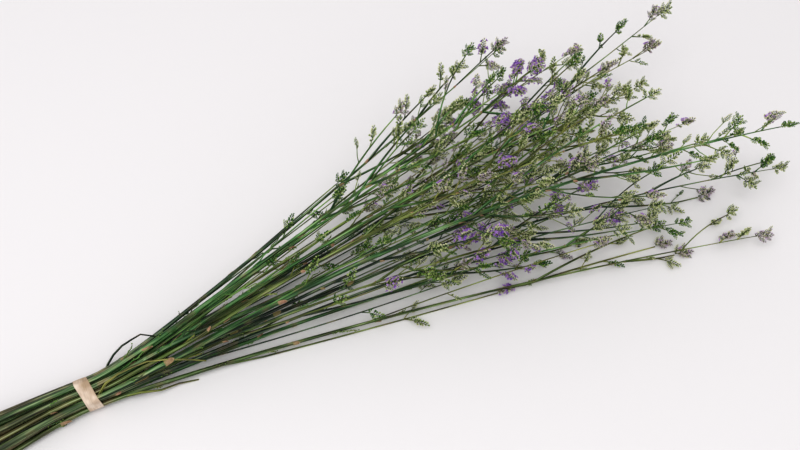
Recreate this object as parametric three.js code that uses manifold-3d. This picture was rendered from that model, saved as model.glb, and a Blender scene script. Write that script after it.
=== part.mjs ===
// A tied bunch of statice (sea lavender), lying on a table.
//
// Nineteen flowering stems pass through one flat rubber band near their cut ends. Past the band
// they spread into a fan that lies on the table on its low side and stands about a hand high in
// its middle. Each stem is one solid: a tapering stalk, the branches of its panicle, and the heads
// of small florets that the branches carry. The band is a closed loop that follows the outline of
// the stems it holds, flat where it is pressed on the table.
//
// Units are millimetres. +X runs along the bunch from the cut ends to the tips, +Y is to the left
// of that, +Z is up. While the bunch is laid out, x = 0 is the middle of the band and z = 0 is the
// table. At the end the whole group is moved so that the origin is the middle of its footprint.

import * as THREE from "three";
import { mergeVertices } from "three/addons/utils/BufferGeometryUtils.js";
import Module from "manifold-3d";

// --- Driving dimensions -------------------------------------------------------------------------

// The rubber band: a flat loop, as wide along X as a broad florist's band.
const BAND = { width: 10, thickness: 1.1, gap: 0.3, corners: 32, snap: 0.06, colour: 0xd6bfa4 };

// Each stem, from stem_01 on: where its tip lies, how far its middle bows away from a straight
// line (y, z), its radius at the band, how far its cut end reaches behind the band, the share of
// its length where the panicle starts, how many branches it has, and how many heads at its end.
const STEMS = [
  { tip: [524, -41, 95], bow: [20, 10], radius: 2.4, tail: 118, start: 0.54, branches: 3, heads: 4 },
  { tip: [438, -10, 86], bow: [3, 2], radius: 1.9, tail: 112, start: 0.5, branches: 4, heads: 1 },
  { tip: [420, -2, 99], bow: [14, 12], radius: 1.6, tail: 105, start: 0.5, branches: 4, heads: 2 },
  { tip: [360, 84, 70], bow: [6, 4], radius: 1.7, tail: 122, start: 0.56, branches: 3, heads: 2 },
  { tip: [373, 119, 73], bow: [-4, 4], radius: 2.0, tail: 110, start: 0.54, branches: 3, heads: 1 },
  { tip: [336, 100, 44], bow: [2, 0], radius: 1.5, tail: 98, start: 0.58, branches: 3, heads: 1 },
  { tip: [380, 74, 98], bow: [-4, 14], radius: 2.1, tail: 120, start: 0.5, branches: 4, heads: 2 },
  { tip: [523, 111, 59], bow: [-9, -8], radius: 1.9, tail: 114, start: 0.56, branches: 3, heads: 2 },
  { tip: [490, 76, 69], bow: [8, 2], radius: 1.7, tail: 108, start: 0.52, branches: 4, heads: 2 },
  { tip: [420, 88, 82], bow: [0, 8], radius: 1.8, tail: 116, start: 0.52, branches: 4, heads: 2 },
  { tip: [468, 100, 20], bow: [-6, 0], radius: 1.7, tail: 102, start: 0.52, branches: 4, heads: 2 },
  { tip: [458, 45, 72], bow: [0, 6], radius: 2.0, tail: 121, start: 0.5, branches: 5, heads: 2 },
  { tip: [480, 8, 58], bow: [0, 4], radius: 2.1, tail: 113, start: 0.54, branches: 4, heads: 2 },
  { tip: [541, -43, 32], bow: [20, 6], radius: 2.0, tail: 109, start: 0.58, branches: 3, heads: 3 },
  { tip: [506, -82, 13], bow: [10, -2], radius: 1.8, tail: 119, start: 0.54, branches: 3, heads: 2 },
  { tip: [454, -49, 16], bow: [13, 2], radius: 1.9, tail: 111, start: 0.54, branches: 3, heads: 2 },
  { tip: [424, -42, 48], bow: [10, 5], radius: 1.7, tail: 106, start: 0.54, branches: 3, heads: 2 },
  { tip: [323, -28, 50], bow: [5, 5], radius: 1.5, tail: 96, start: 0.64, branches: 3, heads: 1 },
  { tip: [403, 24, 104], bow: [4, 14], radius: 2.0, tail: 117, start: 0.5, branches: 4, heads: 2 },
];

// The fan that the flowers fill: at each x, the lowest and highest y and the highest z. Nothing
// grows out of it, except along the stem that already leads there.
const FAN = [
  { x: 0, low: -14, high: 14, top: 26 },
  { x: 240, low: -32, high: 80, top: 78 },
  { x: 350, low: -50, high: 114, top: 118 },
  { x: 460, low: -70, high: 128, top: 128 },
  { x: 570, low: -96, high: 122, top: 110 },
];

// A stalk: its radius at the cut end as a share of that at the band, its radius at the tip, its
// sides, the length over which it bends out of the band, and how far apart the two points lie that
// give its direction.
const STALK = { endShare: 1.08, tipRadius: 0.75, sides: 5, bend: 30, sight: 20 };

// Behind the band the stems spread and rise by these shares of their place in it, and all drift to
// one side by this many millimetres.
const TAIL = { spread: 1, rise: 0.2, drift: -13 };

// The positions along X at which a stalk has a ring of corners, besides its two ends. None lies
// closer to the tip than the clearance.
const RINGS = [-50, -6, 6, 30, 70, 120, 180, 240, 300, 360, 420, 480];
const LAST_RING_CLEAR = 20;

// The packing of the stems where the band holds them. It starts from their tips, measured from
// `tipHeight` and brought in to `share` of their spread about `start`. Then each round draws them
// towards `middle`, at first by `pull`, and pushes them apart.
const NECK = {
  start: 11, share: 0.07, tipHeight: 50, middle: 9, pull: 0.04, rounds: 600, pushes: 4, lastPushes: 300,
};

// The laying of the stems side by side, station by station along X. `keep` is the share of a
// sideways push that is kept from one station to the next. The band's underside holds the stems
// off the table, less and less up to `fade` from it. The room between stems grows from `gap`, by
// `gapSlope` for each millimetre along X, up to `gapGrowth` more.
const LAY = {
  step: 5, last: 560, pushes: 12, keep: 0.965, fade: 40, gap: 0.4, gapGrowth: 2.4, gapSlope: 0.015,
};

// Branches. Angles are in degrees: to the stem, from one branch to the next round it, from one stem
// to the next, and from one try to the next where a branch finds no room. `jitter` is the share of
// its own stretch of stem over which a branch may start, `reach` its share of what is left of the
// stem, at its shortest times `reachLow`, with `reachSpread` more at its longest. `follow` is how
// far it turns to follow the stem, and `last` the share of the stem past which none grows.
const BRANCH = {
  angle: 17, angleSpread: 12, turn: 137.5, stemTurn: 120, retryTurn: 47, tries: 32, shrink: 0.012,
  jitter: 0.6, reach: 0.52, reachLow: 0.6, reachSpread: 0.8, shortest: 32, longest: 150,
  follow: 0.3, last: 0.88, baseRadius: 0.95, endRadius: 0.6, steps: 2,
};

// Heads of florets: a stalk, then rings of florets round a thin axis. `swell` is the share of the
// radius that each ring has, `flat` that of the florets above and below, `lean` and `point` are the
// shares of the length by which florets lean forward and the last ones reach past their ring. The
// head at a stem's tip starts `sunk` millimetres inside it, slimmer than it by `slimmer`, and
// leaves it at the share `stub` of its length.
const HEAD = {
  length: 14, lengthSpread: 3, radius: 4, core: 0.95, sides: 4, swell: [0.8, 1, 0.95, 0.7],
  first: 0.15, last: 0.8, flat: 0.8, lean: 0.15, point: 0.2, clear: 0.5, spacing: 14,
  stalk: 7, stalkSpread: 5, stalkRadius: 0.6, angle: 38, azimuth: 80, turnSpread: 0.8,
  sunk: 3, slimmer: 0.05, stub: 0.03,
};
const SIDE_HEAD = 0.66; // share of a branch's length at which it carries a head on a stalk

const GREENS = [0x4f7f3c, 0x2f5a38, 0x6d8f46];
const SEED = 20; // of the random numbers that the bunch grows by
const PARALLEL = 1e-9; // two straight pieces count as parallel below this
const MERGE = 1e-4; // corners closer than this become one

// --- Small helpers ------------------------------------------------------------------------------

const add = (a, b) => [a[0] + b[0], a[1] + b[1], a[2] + b[2]];
const sub = (a, b) => [a[0] - b[0], a[1] - b[1], a[2] - b[2]];
const times = (a, s) => [a[0] * s, a[1] * s, a[2] * s];
const dot = (a, b) => a[0] * b[0] + a[1] * b[1] + a[2] * b[2];
const cross = (a, b) => [a[1] * b[2] - a[2] * b[1], a[2] * b[0] - a[0] * b[2], a[0] * b[1] - a[1] * b[0]];
const unit = (a) => times(a, 1 / Math.sqrt(dot(a, a)));
const mix = (a, b, t) => a + (b - a) * t;
const radians = (degrees) => (degrees * Math.PI) / 180;

// A repeatable stream of numbers from 0 to 1: the same seed always grows the same bunch.
function numbers(seed) {
  let state = seed;
  return () => {
    state = (state * 48271) % 2147483647;
    return state / 2147483647;
  };
}

// Two directions square to u and to each other.
function across(u) {
  const side = unit(cross(Math.abs(u[2]) > 0.9 ? [1, 0, 0] : [0, 0, 1], u));
  return [side, cross(u, side)];
}

// u, tipped by an angle towards the direction that lies at `azimuth` round it.
function tipped(u, angle, azimuth) {
  const [side, up] = across(u);
  const out = add(times(side, Math.cos(azimuth)), times(up, Math.sin(azimuth)));
  return add(times(u, Math.cos(angle)), times(out, Math.sin(angle)));
}

// --- Laying the stems ---------------------------------------------------------------------------

// The room between neighbouring stems: least where the band holds them.
function gapAt(x) {
  const past = Math.max(0, Math.abs(x) - BAND.width / 2);
  return LAY.gap + Math.min(LAY.gapGrowth, past * LAY.gapSlope);
}

// One round of pushing discs apart, in the plane across the bunch, above a floor.
function pushApart(spots, radii, gap, floor) {
  for (let i = 0; i < spots.length; i++) {
    for (let j = i + 1; j < spots.length; j++) {
      const dy = spots[j][0] - spots[i][0];
      const dz = spots[j][1] - spots[i][1];
      const apart = Math.sqrt(dy * dy + dz * dz);
      const short = radii[i] + radii[j] + gap - apart;
      if (short <= 0) continue;
      const share = short / (2 * apart);
      spots[i][0] -= dy * share;
      spots[i][1] -= dz * share;
      spots[j][0] += dy * share;
      spots[j][1] += dz * share;
    }
  }
  spots.forEach((spot, i) => (spot[1] = Math.max(spot[1], floor + radii[i])));
}

// Where the band holds each stem: discs drawn together until they touch, resting on its underside.
function packNeck(radii, floor) {
  const startHeight = (tip) => NECK.start + (tip[2] - NECK.tipHeight) * NECK.share;
  const spots = STEMS.map(({ tip }) => [tip[1] * NECK.share, startHeight(tip)]);
  for (let round = 0; round < NECK.rounds; round++) {
    const pull = 1 - NECK.pull * (1 - round / NECK.rounds);
    for (const spot of spots) {
      spot[0] *= pull;
      spot[1] = NECK.middle + (spot[1] - NECK.middle) * pull;
    }
    for (let k = 0; k < NECK.pushes; k++) pushApart(spots, radii, gapAt(0), floor);
  }
  for (let k = 0; k < NECK.lastPushes; k++) pushApart(spots, radii, gapAt(0), floor);
  return spots;
}

// A share that grows from 0 at the band to 1 at `end`, with no kink at the band.
function spreadShare(x, end) {
  const bent = (v) => Math.sqrt(v * v + STALK.bend * STALK.bend) - STALK.bend;
  return bent(x) / bent(end);
}

function radiusAt(stem, x) {
  if (x < 0) return stem.radius * mix(1, STALK.endShare, -x / stem.tail);
  return mix(stem.radius, STALK.tipRadius, x / stem.tip[0]);
}

// Where a stem would lie at x if no neighbour pushed it.
function freeSpot(stem, neck, x, lift) {
  if (x < 0) {
    const g = spreadShare(-x, stem.tail);
    const rest = neck[1] - lift - stem.radius;
    return [
      neck[0] * (1 + TAIL.spread * g) + TAIL.drift * g,
      stem.radius + rest * (1 + TAIL.rise * g) + lift * (1 - g),
    ];
  }
  const g = spreadShare(x, stem.tip[0]);
  const hump = 4 * g * (1 - g);
  return [
    mix(neck[0], stem.tip[1], g) + stem.bow[0] * hump,
    mix(neck[1], stem.tip[2], g) + stem.bow[1] * hump,
  ];
}

// The stalks: for each stem the points that its middle runs through, from its cut end to its tip.
// From the band outwards the stems are laid side by side, station by station, and each keeps most
// of the push that it has received.
function layStems() {
  const lift = BAND.thickness + BAND.gap;
  const neck = packNeck(STEMS.map((s) => s.radius), lift);
  const routes = STEMS.map(() => new Map());
  for (const way of [-1, 1]) {
    const pushes = STEMS.map(() => [0, 0]);
    for (let x = 0; Math.abs(x) <= LAY.last; x += LAY.step * way) {
      const reaches = (s) => x <= s.tip[0] + LAY.step && -x <= s.tail + LAY.step;
      const live = STEMS.map((s, i) => i).filter((i) => reaches(STEMS[i]));
      const free = live.map((i) => freeSpot(STEMS[i], neck[i], x, lift));
      const spots = live.map((i, k) => [free[k][0] + pushes[i][0], free[k][1] + pushes[i][1]]);
      const radii = live.map((i) => radiusAt(STEMS[i], x));
      const floor = lift * Math.max(0, 1 - Math.abs(x) / LAY.fade);
      for (let k = 0; k < LAY.pushes; k++) pushApart(spots, radii, gapAt(x), floor);
      live.forEach((i, k) => {
        routes[i].set(x, spots[k]);
        pushes[i] = [(spots[k][0] - free[k][0]) * LAY.keep, (spots[k][1] - free[k][1]) * LAY.keep];
      });
    }
  }
  return STEMS.map((stem, i) => ringsOf(stem).map((x) => between(routes[i], x)));
}

// Where a stem's stalk has rings of corners, from its cut end to its tip.
function ringsOf(stem) {
  return [-stem.tail, ...RINGS.filter((x) => x < stem.tip[0] - LAST_RING_CLEAR), stem.tip[0]];
}

// The middle of a stem at any x, between the two stations next to it.
function between(route, x) {
  const low = Math.floor(x / LAY.step) * LAY.step;
  const a = route.get(low);
  const b = route.get(low + LAY.step) ?? a;
  const t = (x - low) / LAY.step;
  return [x, mix(a[0], b[0], t), mix(a[1], b[1], t)];
}

// The middle of a stalk at any x, on the straight pieces between its rings.
function pointOn(stalk, x) {
  const last = stalk.findIndex((p, k) => k > 0 && (p[0] >= x || k === stalk.length - 1));
  const [a, b] = [stalk[last - 1], stalk[last]];
  return add(a, times(sub(b, a), (x - a[0]) / (b[0] - a[0])));
}

// --- Growing the panicles -----------------------------------------------------------------------

// The shortest way between two straight pieces, each from p along d.
function wayBetween(p1, d1, p2, d2) {
  const clamp = (v) => Math.min(1, Math.max(0, v));
  const r = sub(p1, p2);
  const a = dot(d1, d1);
  const e = dot(d2, d2);
  const f = dot(d2, r);
  const b = dot(d1, d2);
  const c = dot(d1, r);
  const square = a * e - b * b;
  let s = square > PARALLEL ? clamp((b * f - c * e) / square) : 0;
  let t = (b * s + f) / e;
  if (t < 0) {
    t = 0;
    s = clamp(-c / a);
  } else if (t > 1) {
    t = 1;
    s = clamp((b - c) / a);
  }
  const gap = sub(add(p1, times(d1, s)), add(p2, times(d2, t)));
  return Math.sqrt(dot(gap, gap));
}

// A rod takes up room: a straight piece with a radius. `owner` is its stem.
const rod = (from, to, radius, owner, kind) => ({ from, along: sub(to, from), radius, owner, kind });

// A head beside others of its own stem keeps clear of them too; stalks may touch their own stem.
function meets(a, b) {
  if (a.owner === b.owner && (a.kind !== "head" || b.kind !== "head")) return false;
  return wayBetween(a.from, a.along, b.from, b.along) < a.radius + b.radius + HEAD.clear;
}

// A point no lower than the table lets something of that radius lie.
const onTable = (p, radius) => [p[0], p[1], Math.max(p[2], radius)];

// A head on its stalk, from a point on its branch: the stalk's end and the head's tip.
function makeHead(root, direction, stalk, length) {
  const neck = onTable(add(root, times(direction, stalk)), HEAD.radius * HEAD.flat);
  const tip = onTable(add(neck, times(direction, length)), HEAD.radius * HEAD.flat);
  return { root, neck, tip };
}

// A branch grows out of its stem at an angle and then turns a little to follow it.
function makeBranch(root, follow, direction, length) {
  const points = [root];
  for (let k = 1; k <= BRANCH.steps; k++) {
    const t = k / BRANCH.steps;
    const lean = BRANCH.follow * t;
    const way = add(times(direction, 1 - lean), times(follow, lean));
    points.push(onTable(add(root, times(way, length * t)), BRANCH.baseRadius));
  }
  return points;
}

// Whether a branch or head that ends at p stays in the fan.
function inFan(p) {
  const last = FAN.findIndex((f, k) => k > 0 && (f.x >= p[0] || k === FAN.length - 1));
  const [a, b] = [FAN[last - 1], FAN[last]];
  const t = (p[0] - a.x) / (b.x - a.x);
  return p[1] > mix(a.low, b.low, t) && p[1] < mix(a.high, b.high, t) && p[2] < mix(a.top, b.top, t);
}

// Everything that grows on the stalks: for each stem the head at its tip, its branches and its
// other heads. They are placed one after another over all the stems, and each is turned round its
// stem until it is in the fan and clear of what is there already. One that finds no room is left out.
function growPanicles(stalks) {
  const random = numbers(SEED);
  const rods = [];
  const plants = STEMS.map(() => ({ tip: null, branches: [], heads: [] }));
  const headRod = (head, owner) => rod(head.neck, head.tip, HEAD.radius, owner, "head");
  const stalkRod = (head, owner) => rod(head.root, head.neck, HEAD.stalkRadius, owner, "stalk");
  const headLength = () => HEAD.length + HEAD.lengthSpread * (random() - 0.5);
  const stalkLength = () => HEAD.stalk + HEAD.stalkSpread * (random() - 0.5);

  stalks.forEach((stalk, owner) => {
    for (let k = 1; k < stalk.length; k++) {
      rods.push(rod(stalk[k - 1], stalk[k], radiusAt(STEMS[owner], stalk[k - 1][0]), owner, "stalk"));
    }
    const [before, end] = stalk.slice(-2);
    plants[owner].tip = makeHead(end, unit(sub(end, before)), 0, headLength());
    rods.push(headRod(plants[owner].tip, owner));
  });

  // Puts what attempt(k) grows in its place, at the first k at which there is room for it.
  function place(attempt) {
    for (let k = 0; k < BRANCH.tries; k++) {
      const grown = attempt(k);
      if (!inFan(grown.rods[0].from)) continue;
      if (grown.rods.some((piece) => rods.some((other) => meets(piece, other)))) continue;
      rods.push(...grown.rods);
      return grown;
    }
    return null;
  }

  // Calls grow(stem, owner, n) for the first of each stem's repeats, then for the second, and on.
  function inTurns(repeats, grow) {
    for (let n = 0; n < Math.max(...STEMS.map(repeats)); n++) {
      STEMS.forEach((stem, owner) => {
        if (n < repeats(stem)) grow(stem, owner, n);
      });
    }
  }

  inTurns((stem) => stem.branches, (stem, owner, n) => {
    const share = (n + BRANCH.jitter * random()) / stem.branches;
    const x = stem.tip[0] * mix(stem.start, BRANCH.last, share);
    const root = pointOn(stalks[owner], x);
    const follow = unit(sub(pointOn(stalks[owner], Math.min(x + STALK.sight, stem.tip[0])), root));
    const reach = BRANCH.reach * (BRANCH.reachLow + BRANCH.reachSpread * random());
    const free = (stem.tip[0] - x) * reach;
    const length = Math.min(BRANCH.longest, Math.max(BRANCH.shortest, free));
    const angle = radians(BRANCH.angle + BRANCH.angleSpread * random());
    const turn = radians(BRANCH.turn * n + BRANCH.stemTurn * owner) + random();
    const endLength = headLength();
    const sideLength = headLength();
    const sideStalk = stalkLength();
    const grown = place((k) => {
      const azimuth = turn + k * radians(BRANCH.retryTurn);
      const way = tipped(follow, angle, azimuth);
      const points = makeBranch(root, follow, way, length * (1 - BRANCH.shrink * k));
      const [middle, end] = points.slice(1);
      const endWay = unit(sub(end, middle));
      const head = makeHead(end, endWay, 0, endLength);
      const from = add(middle, times(sub(end, middle), SIDE_HEAD * BRANCH.steps - 1));
      const side = tipped(endWay, radians(HEAD.angle), azimuth - radians(HEAD.azimuth));
      const sideHead = makeHead(from, side, sideStalk, sideLength);
      const pieces = [headRod(head, owner), headRod(sideHead, owner), stalkRod(sideHead, owner)];
      for (let m = 1; m < points.length; m++) {
        pieces.push(rod(points[m - 1], points[m], BRANCH.baseRadius, owner, "stalk"));
      }
      return { points, head, sideHead, rods: pieces };
    });
    if (!grown) return;
    plants[owner].branches.push(grown);
    plants[owner].heads.push(grown.sideHead);
  });

  inTurns((stem) => stem.heads, (stem, owner, n) => {
    const x = stem.tip[0] - (n + 1) * HEAD.spacing;
    const root = pointOn(stalks[owner], x);
    const follow = unit(sub(root, pointOn(stalks[owner], x - STALK.sight)));
    const length = headLength();
    const stalk = stalkLength();
    const turn = Math.PI * n + owner + HEAD.turnSpread * random();
    const grown = place((k) => {
      const way = tipped(follow, radians(HEAD.angle), turn + k * radians(BRANCH.retryTurn));
      const head = makeHead(root, way, stalk, length);
      return { head, rods: [headRod(head, owner), stalkRod(head, owner)] };
    });
    if (grown) plants[owner].heads.push(grown.head);
  });
  return plants;
}

// --- Solids -------------------------------------------------------------------------------------

const wasm = await Module();
wasm.setup();

// A closed three.js geometry as a manifold-3d solid, and back.
function toSolid(geometry) {
  const bare = new THREE.BufferGeometry().setAttribute("position", geometry.getAttribute("position"));
  bare.setIndex(geometry.index);
  const merged = mergeVertices(bare, MERGE);
  return new wasm.Manifold(
    new wasm.Mesh({
      numProp: 3,
      vertProperties: merged.attributes.position.array,
      triVerts: new Uint32Array(merged.index.array),
    }),
  );
}

function toGeometry(solid) {
  const mesh = solid.getMesh();
  const geometry = new THREE.BufferGeometry();
  geometry.setAttribute("position", new THREE.BufferAttribute(new Float32Array(mesh.vertProperties), 3));
  geometry.setIndex(new THREE.BufferAttribute(new Uint32Array(mesh.triVerts), 1));
  const flat = geometry.toNonIndexed();
  flat.computeVertexNormals();
  return flat;
}

// A cylinder bent along a row of points. radius(k, j) gives the distance of corner j of ring k
// from the middle, shift(k, j) how far that corner is moved along, and lift how far the middle of
// the far end stands out.
function bentCylinder(points, sides, radius, shift = () => 0, lift = 0) {
  const steps = points.length - 1;
  const geometry = new THREE.CylinderGeometry(1, 1, steps, sides, steps, false);
  const frames = points.map((p, k) => {
    const u = unit(sub(points[Math.min(k + 1, steps)], points[Math.max(k - 1, 0)]));
    return { p, u, axes: across(u) };
  });
  const at = geometry.attributes.position;
  for (let v = 0; v < at.count; v++) {
    const k = Math.round(at.getY(v) + steps / 2);
    const [a, b] = [at.getZ(v), at.getX(v)];
    const { p, u, axes } = frames[k];
    let place = p;
    if (Math.hypot(a, b) > 0.5) {
      const j = Math.round((Math.atan2(b, a) / (2 * Math.PI)) * sides + sides) % sides;
      const r = radius(k, j);
      place = add(add(p, times(u, shift(k, j))), add(times(axes[0], a * r), times(axes[1], b * r)));
    } else if (k === steps) {
      place = add(p, times(u, lift));
    }
    at.setXYZ(v, ...place);
  }
  return toSolid(geometry);
}

// Rings of florets round the far part of a branch or stalk: every other corner of a ring stands
// out and leans forward, and the next ring has the corners between.
function floretRow(rootPoints, rootRadii, head) {
  const along = sub(head.tip, head.neck);
  const length = Math.sqrt(dot(along, along));
  const rings = [];
  const last = HEAD.swell.length - 1;
  for (let k = 0; k <= last; k++) {
    rings.push(add(head.neck, times(along, mix(HEAD.first, HEAD.last, k / last))));
  }
  const points = [...rootPoints, ...rings];
  const first = rootPoints.length;
  const radius = (k, j) => {
    if (k < first) return rootRadii[k];
    const flat = j % 2 ? HEAD.flat : 1;
    return (k + j) % 2 ? HEAD.radius * HEAD.swell[k - first] * flat : HEAD.core;
  };
  const shift = (k, j) => (k >= first && (k + j) % 2 ? length * HEAD.lean : 0);
  return bentCylinder(points, HEAD.sides, radius, shift, length * HEAD.point);
}

// One whole stem: its stalk, its branches, each with a head at its end, and the other heads.
function stemSolid(stem, stalk, plant) {
  const { tip, branches, heads } = plant;
  const stub = add(tip.neck, times(sub(tip.tip, tip.neck), HEAD.stub));
  const sunk = pointOn(stalk, stem.tip[0] - HEAD.sunk);
  const slim = STALK.tipRadius - HEAD.slimmer;
  const pieces = [
    bentCylinder(stalk, STALK.sides, (k) => radiusAt(stem, stalk[k][0])),
    floretRow([sunk, stub], [slim, slim], tip),
  ];
  for (const { points, head } of branches) {
    const radii = points.map((p, k) => mix(BRANCH.baseRadius, BRANCH.endRadius, k / BRANCH.steps));
    pieces.push(floretRow(points, radii, head));
  }
  for (const head of heads) {
    pieces.push(floretRow([head.root, head.neck], [HEAD.stalkRadius, HEAD.stalkRadius], head));
  }
  return wasm.Manifold.union(pieces);
}

// The band: the outline of the stems that it holds, drawn round them like a stretched loop.
function bandGeometry(stalks) {
  const discs = STEMS.map((stem, i) => ({ at: pointOn(stalks[i], 0).slice(1), radius: stem.radius }));
  const outline = (grow) => {
    const corners = [];
    for (let k = 0; k < BAND.corners; k++) {
      const angle = (2 * Math.PI * (k + 0.5)) / BAND.corners;
      const [c, s] = [Math.cos(angle), Math.sin(angle)];
      const reach = (d) => d.at[0] * c + d.at[1] * s + d.radius;
      const far = discs.reduce((best, d) => (reach(d) > reach(best) ? d : best));
      const out = far.radius + grow;
      const height = far.at[1] + out * s;
      const lowest = BAND.gap + BAND.thickness - grow;
      corners.push(new THREE.Vector2(far.at[0] + out * c, height < lowest + BAND.snap ? lowest : height));
    }
    return corners;
  };
  const shape = new THREE.Shape(outline(BAND.gap + BAND.thickness));
  shape.holes.push(new THREE.Path(outline(BAND.gap)));
  const geometry = new THREE.ExtrudeGeometry(shape, { depth: BAND.width, bevelEnabled: false, steps: 1 });
  // The shape lies in (y, z): turn it so that it is pushed out along X, and centre it on the band.
  geometry.applyMatrix4(new THREE.Matrix4().makeBasis(
    new THREE.Vector3(0, 1, 0), new THREE.Vector3(0, 0, 1), new THREE.Vector3(1, 0, 0),
  ));
  return geometry.translate(-BAND.width / 2, 0, 0);
}

// --- The bunch ----------------------------------------------------------------------------------

const bunch = new THREE.Group();
const stalks = layStems();
const plants = growPanicles(stalks);

STEMS.forEach((stem, i) => {
  const color = GREENS[i % GREENS.length];
  const green = new THREE.MeshStandardMaterial({ color, roughness: 0.6, metalness: 0 });
  const mesh = new THREE.Mesh(toGeometry(stemSolid(stem, stalks[i], plants[i])), green);
  mesh.name = `stem_${String(i + 1).padStart(2, "0")}`;
  bunch.add(mesh);
});

const rubber = new THREE.MeshStandardMaterial({ color: BAND.colour, roughness: 0.55, metalness: 0 });
const band = new THREE.Mesh(bandGeometry(stalks), rubber);
band.name = "rubber_band";
bunch.add(band);

const box = new THREE.Box3().setFromObject(bunch);
bunch.position.set(-(box.min.x + box.max.x) / 2, -(box.min.y + box.max.y) / 2, -box.min.z);

export default bunch;
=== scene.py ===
"""A tied bunch of statice (sea lavender), lying on a table.

Nineteen flowering stems pass through one flat rubber band near their cut ends. Past the band they
spread into a fan of fine panicles, whose twigs end in short spikes of papery cream calyces with
violet petals in them. The stems are laid and grown by the same rule as the frame's solids, from the
same sizes, and then drawn finer: round stalks with nodes and bracts, curved branches, more twigs.

Sizes are in millimetres while the bunch is laid out, with x = 0 in the middle of the band, +x
towards the tips, +y to the left and z = 0 on the table. The matrix to_frame takes it to the frame.
"""

import math
from collections import defaultdict, namedtuple

import bmesh
import bpy
from mathutils import Matrix, Vector


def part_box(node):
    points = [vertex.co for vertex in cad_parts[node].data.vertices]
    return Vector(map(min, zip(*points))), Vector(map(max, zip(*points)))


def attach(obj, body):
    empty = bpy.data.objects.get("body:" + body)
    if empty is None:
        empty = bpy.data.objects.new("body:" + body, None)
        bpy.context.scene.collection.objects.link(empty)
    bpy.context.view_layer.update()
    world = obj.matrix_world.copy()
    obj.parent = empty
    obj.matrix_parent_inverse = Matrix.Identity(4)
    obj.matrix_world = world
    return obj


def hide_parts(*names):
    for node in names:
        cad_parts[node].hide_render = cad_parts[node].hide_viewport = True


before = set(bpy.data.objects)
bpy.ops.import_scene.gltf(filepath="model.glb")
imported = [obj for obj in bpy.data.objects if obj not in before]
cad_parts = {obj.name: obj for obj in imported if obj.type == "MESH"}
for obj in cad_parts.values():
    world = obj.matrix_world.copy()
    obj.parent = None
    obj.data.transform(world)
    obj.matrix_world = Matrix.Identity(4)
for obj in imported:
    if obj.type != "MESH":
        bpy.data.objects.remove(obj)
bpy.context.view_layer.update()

# --- The view ------------------------------------------------------------------------------------
# The bunch is looked down on from sixty degrees above the table, from the side of the cut ends, so
# that it runs from the lower left corner of the picture to the upper right.

VIEW_AIM = Vector((0.045, 0.0247, 0.0))
VIEW_TURN = math.radians(23.5)
VIEW_HEIGHT = math.radians(60)
VIEW_DISTANCE = 0.75
VIEW_LENS = 42.4

view_back = Vector((
    -math.sin(VIEW_TURN) * math.cos(VIEW_HEIGHT),
    -math.cos(VIEW_TURN) * math.cos(VIEW_HEIGHT),
    math.sin(VIEW_HEIGHT),
))
camera = bpy.data.objects.new("camera", bpy.data.cameras.new("camera"))
camera.data.lens = VIEW_LENS
camera.location = VIEW_AIM + view_back * VIEW_DISTANCE
camera.rotation_mode = "QUATERNION"
camera.rotation_quaternion = (-view_back).to_track_quat("-Z", "Y")
bpy.context.scene.collection.objects.link(camera)
bpy.context.scene.camera = camera

# --- The lie of the stems ------------------------------------------------------------------------
# Nineteen stalks are drawn together by the band until they touch and rest on its underside. From
# there they are laid side by side, station by station, to their tips and to their cut ends.

# tip: where a stem ends. bow: how far its middle bends away (y, z). radius: at the band. tail: how
# far it reaches behind the band. start: share of its length where the panicle starts. branches and
# heads: how many main branches and side heads it has. green: its shade.
Stem = namedtuple("Stem", "tip bow radius tail start branches heads green")
STEMS = [
    Stem((524, -41, 95), (20, 10), 2.4, 118, 0.54, 3, 4, "stem_green"),
    Stem((438, -10, 86), (3, 2), 1.9, 112, 0.5, 4, 1, "stem_blue_green"),
    Stem((420, -2, 99), (14, 12), 1.6, 105, 0.5, 4, 2, "stem_olive"),
    Stem((360, 84, 70), (6, 4), 1.7, 122, 0.56, 3, 2, "stem_green"),
    Stem((373, 119, 73), (-4, 4), 2.0, 110, 0.54, 3, 1, "stem_blue_green"),
    Stem((336, 100, 44), (2, 0), 1.5, 98, 0.58, 3, 1, "stem_olive"),
    Stem((380, 74, 98), (-4, 14), 2.1, 120, 0.5, 4, 2, "stem_green"),
    Stem((523, 111, 59), (-9, -8), 1.9, 114, 0.56, 3, 2, "stem_blue_green"),
    Stem((490, 76, 69), (8, 2), 1.7, 108, 0.52, 4, 2, "stem_olive"),
    Stem((420, 88, 82), (0, 8), 1.8, 116, 0.52, 4, 2, "stem_green"),
    Stem((468, 100, 20), (-6, 0), 1.7, 102, 0.52, 4, 2, "stem_blue_green"),
    Stem((458, 45, 72), (0, 6), 2.0, 121, 0.5, 5, 2, "stem_olive"),
    Stem((480, 8, 58), (0, 4), 2.1, 113, 0.54, 4, 2, "stem_green"),
    Stem((541, -43, 32), (20, 6), 2.0, 109, 0.58, 3, 3, "stem_blue_green"),
    Stem((506, -82, 13), (10, -2), 1.8, 119, 0.54, 3, 2, "stem_olive"),
    Stem((454, -49, 16), (13, 2), 1.9, 111, 0.54, 3, 2, "stem_green"),
    Stem((424, -42, 48), (10, 5), 1.7, 106, 0.54, 3, 2, "stem_blue_green"),
    Stem((323, -28, 50), (5, 5), 1.5, 96, 0.64, 3, 1, "stem_olive"),
    Stem((403, 24, 104), (4, 14), 2.0, 117, 0.5, 4, 2, "stem_green"),
]
RINGS = [-50, -6, 6, 30, 70, 120, 180, 240, 300, 360, 420, 480]
LAST_RING_CLEAR = 20
END_SHARE, TIP_RADIUS, BEND, TAIL_SPREAD, TAIL_DRIFT, TAIL_RISE = 1.08, 0.75, 30, 1.0, -13, 0.2
NECK_START, NECK_SHARE, TIP_HEIGHT, NECK_MIDDLE = 11, 0.07, 50, 9
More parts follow.
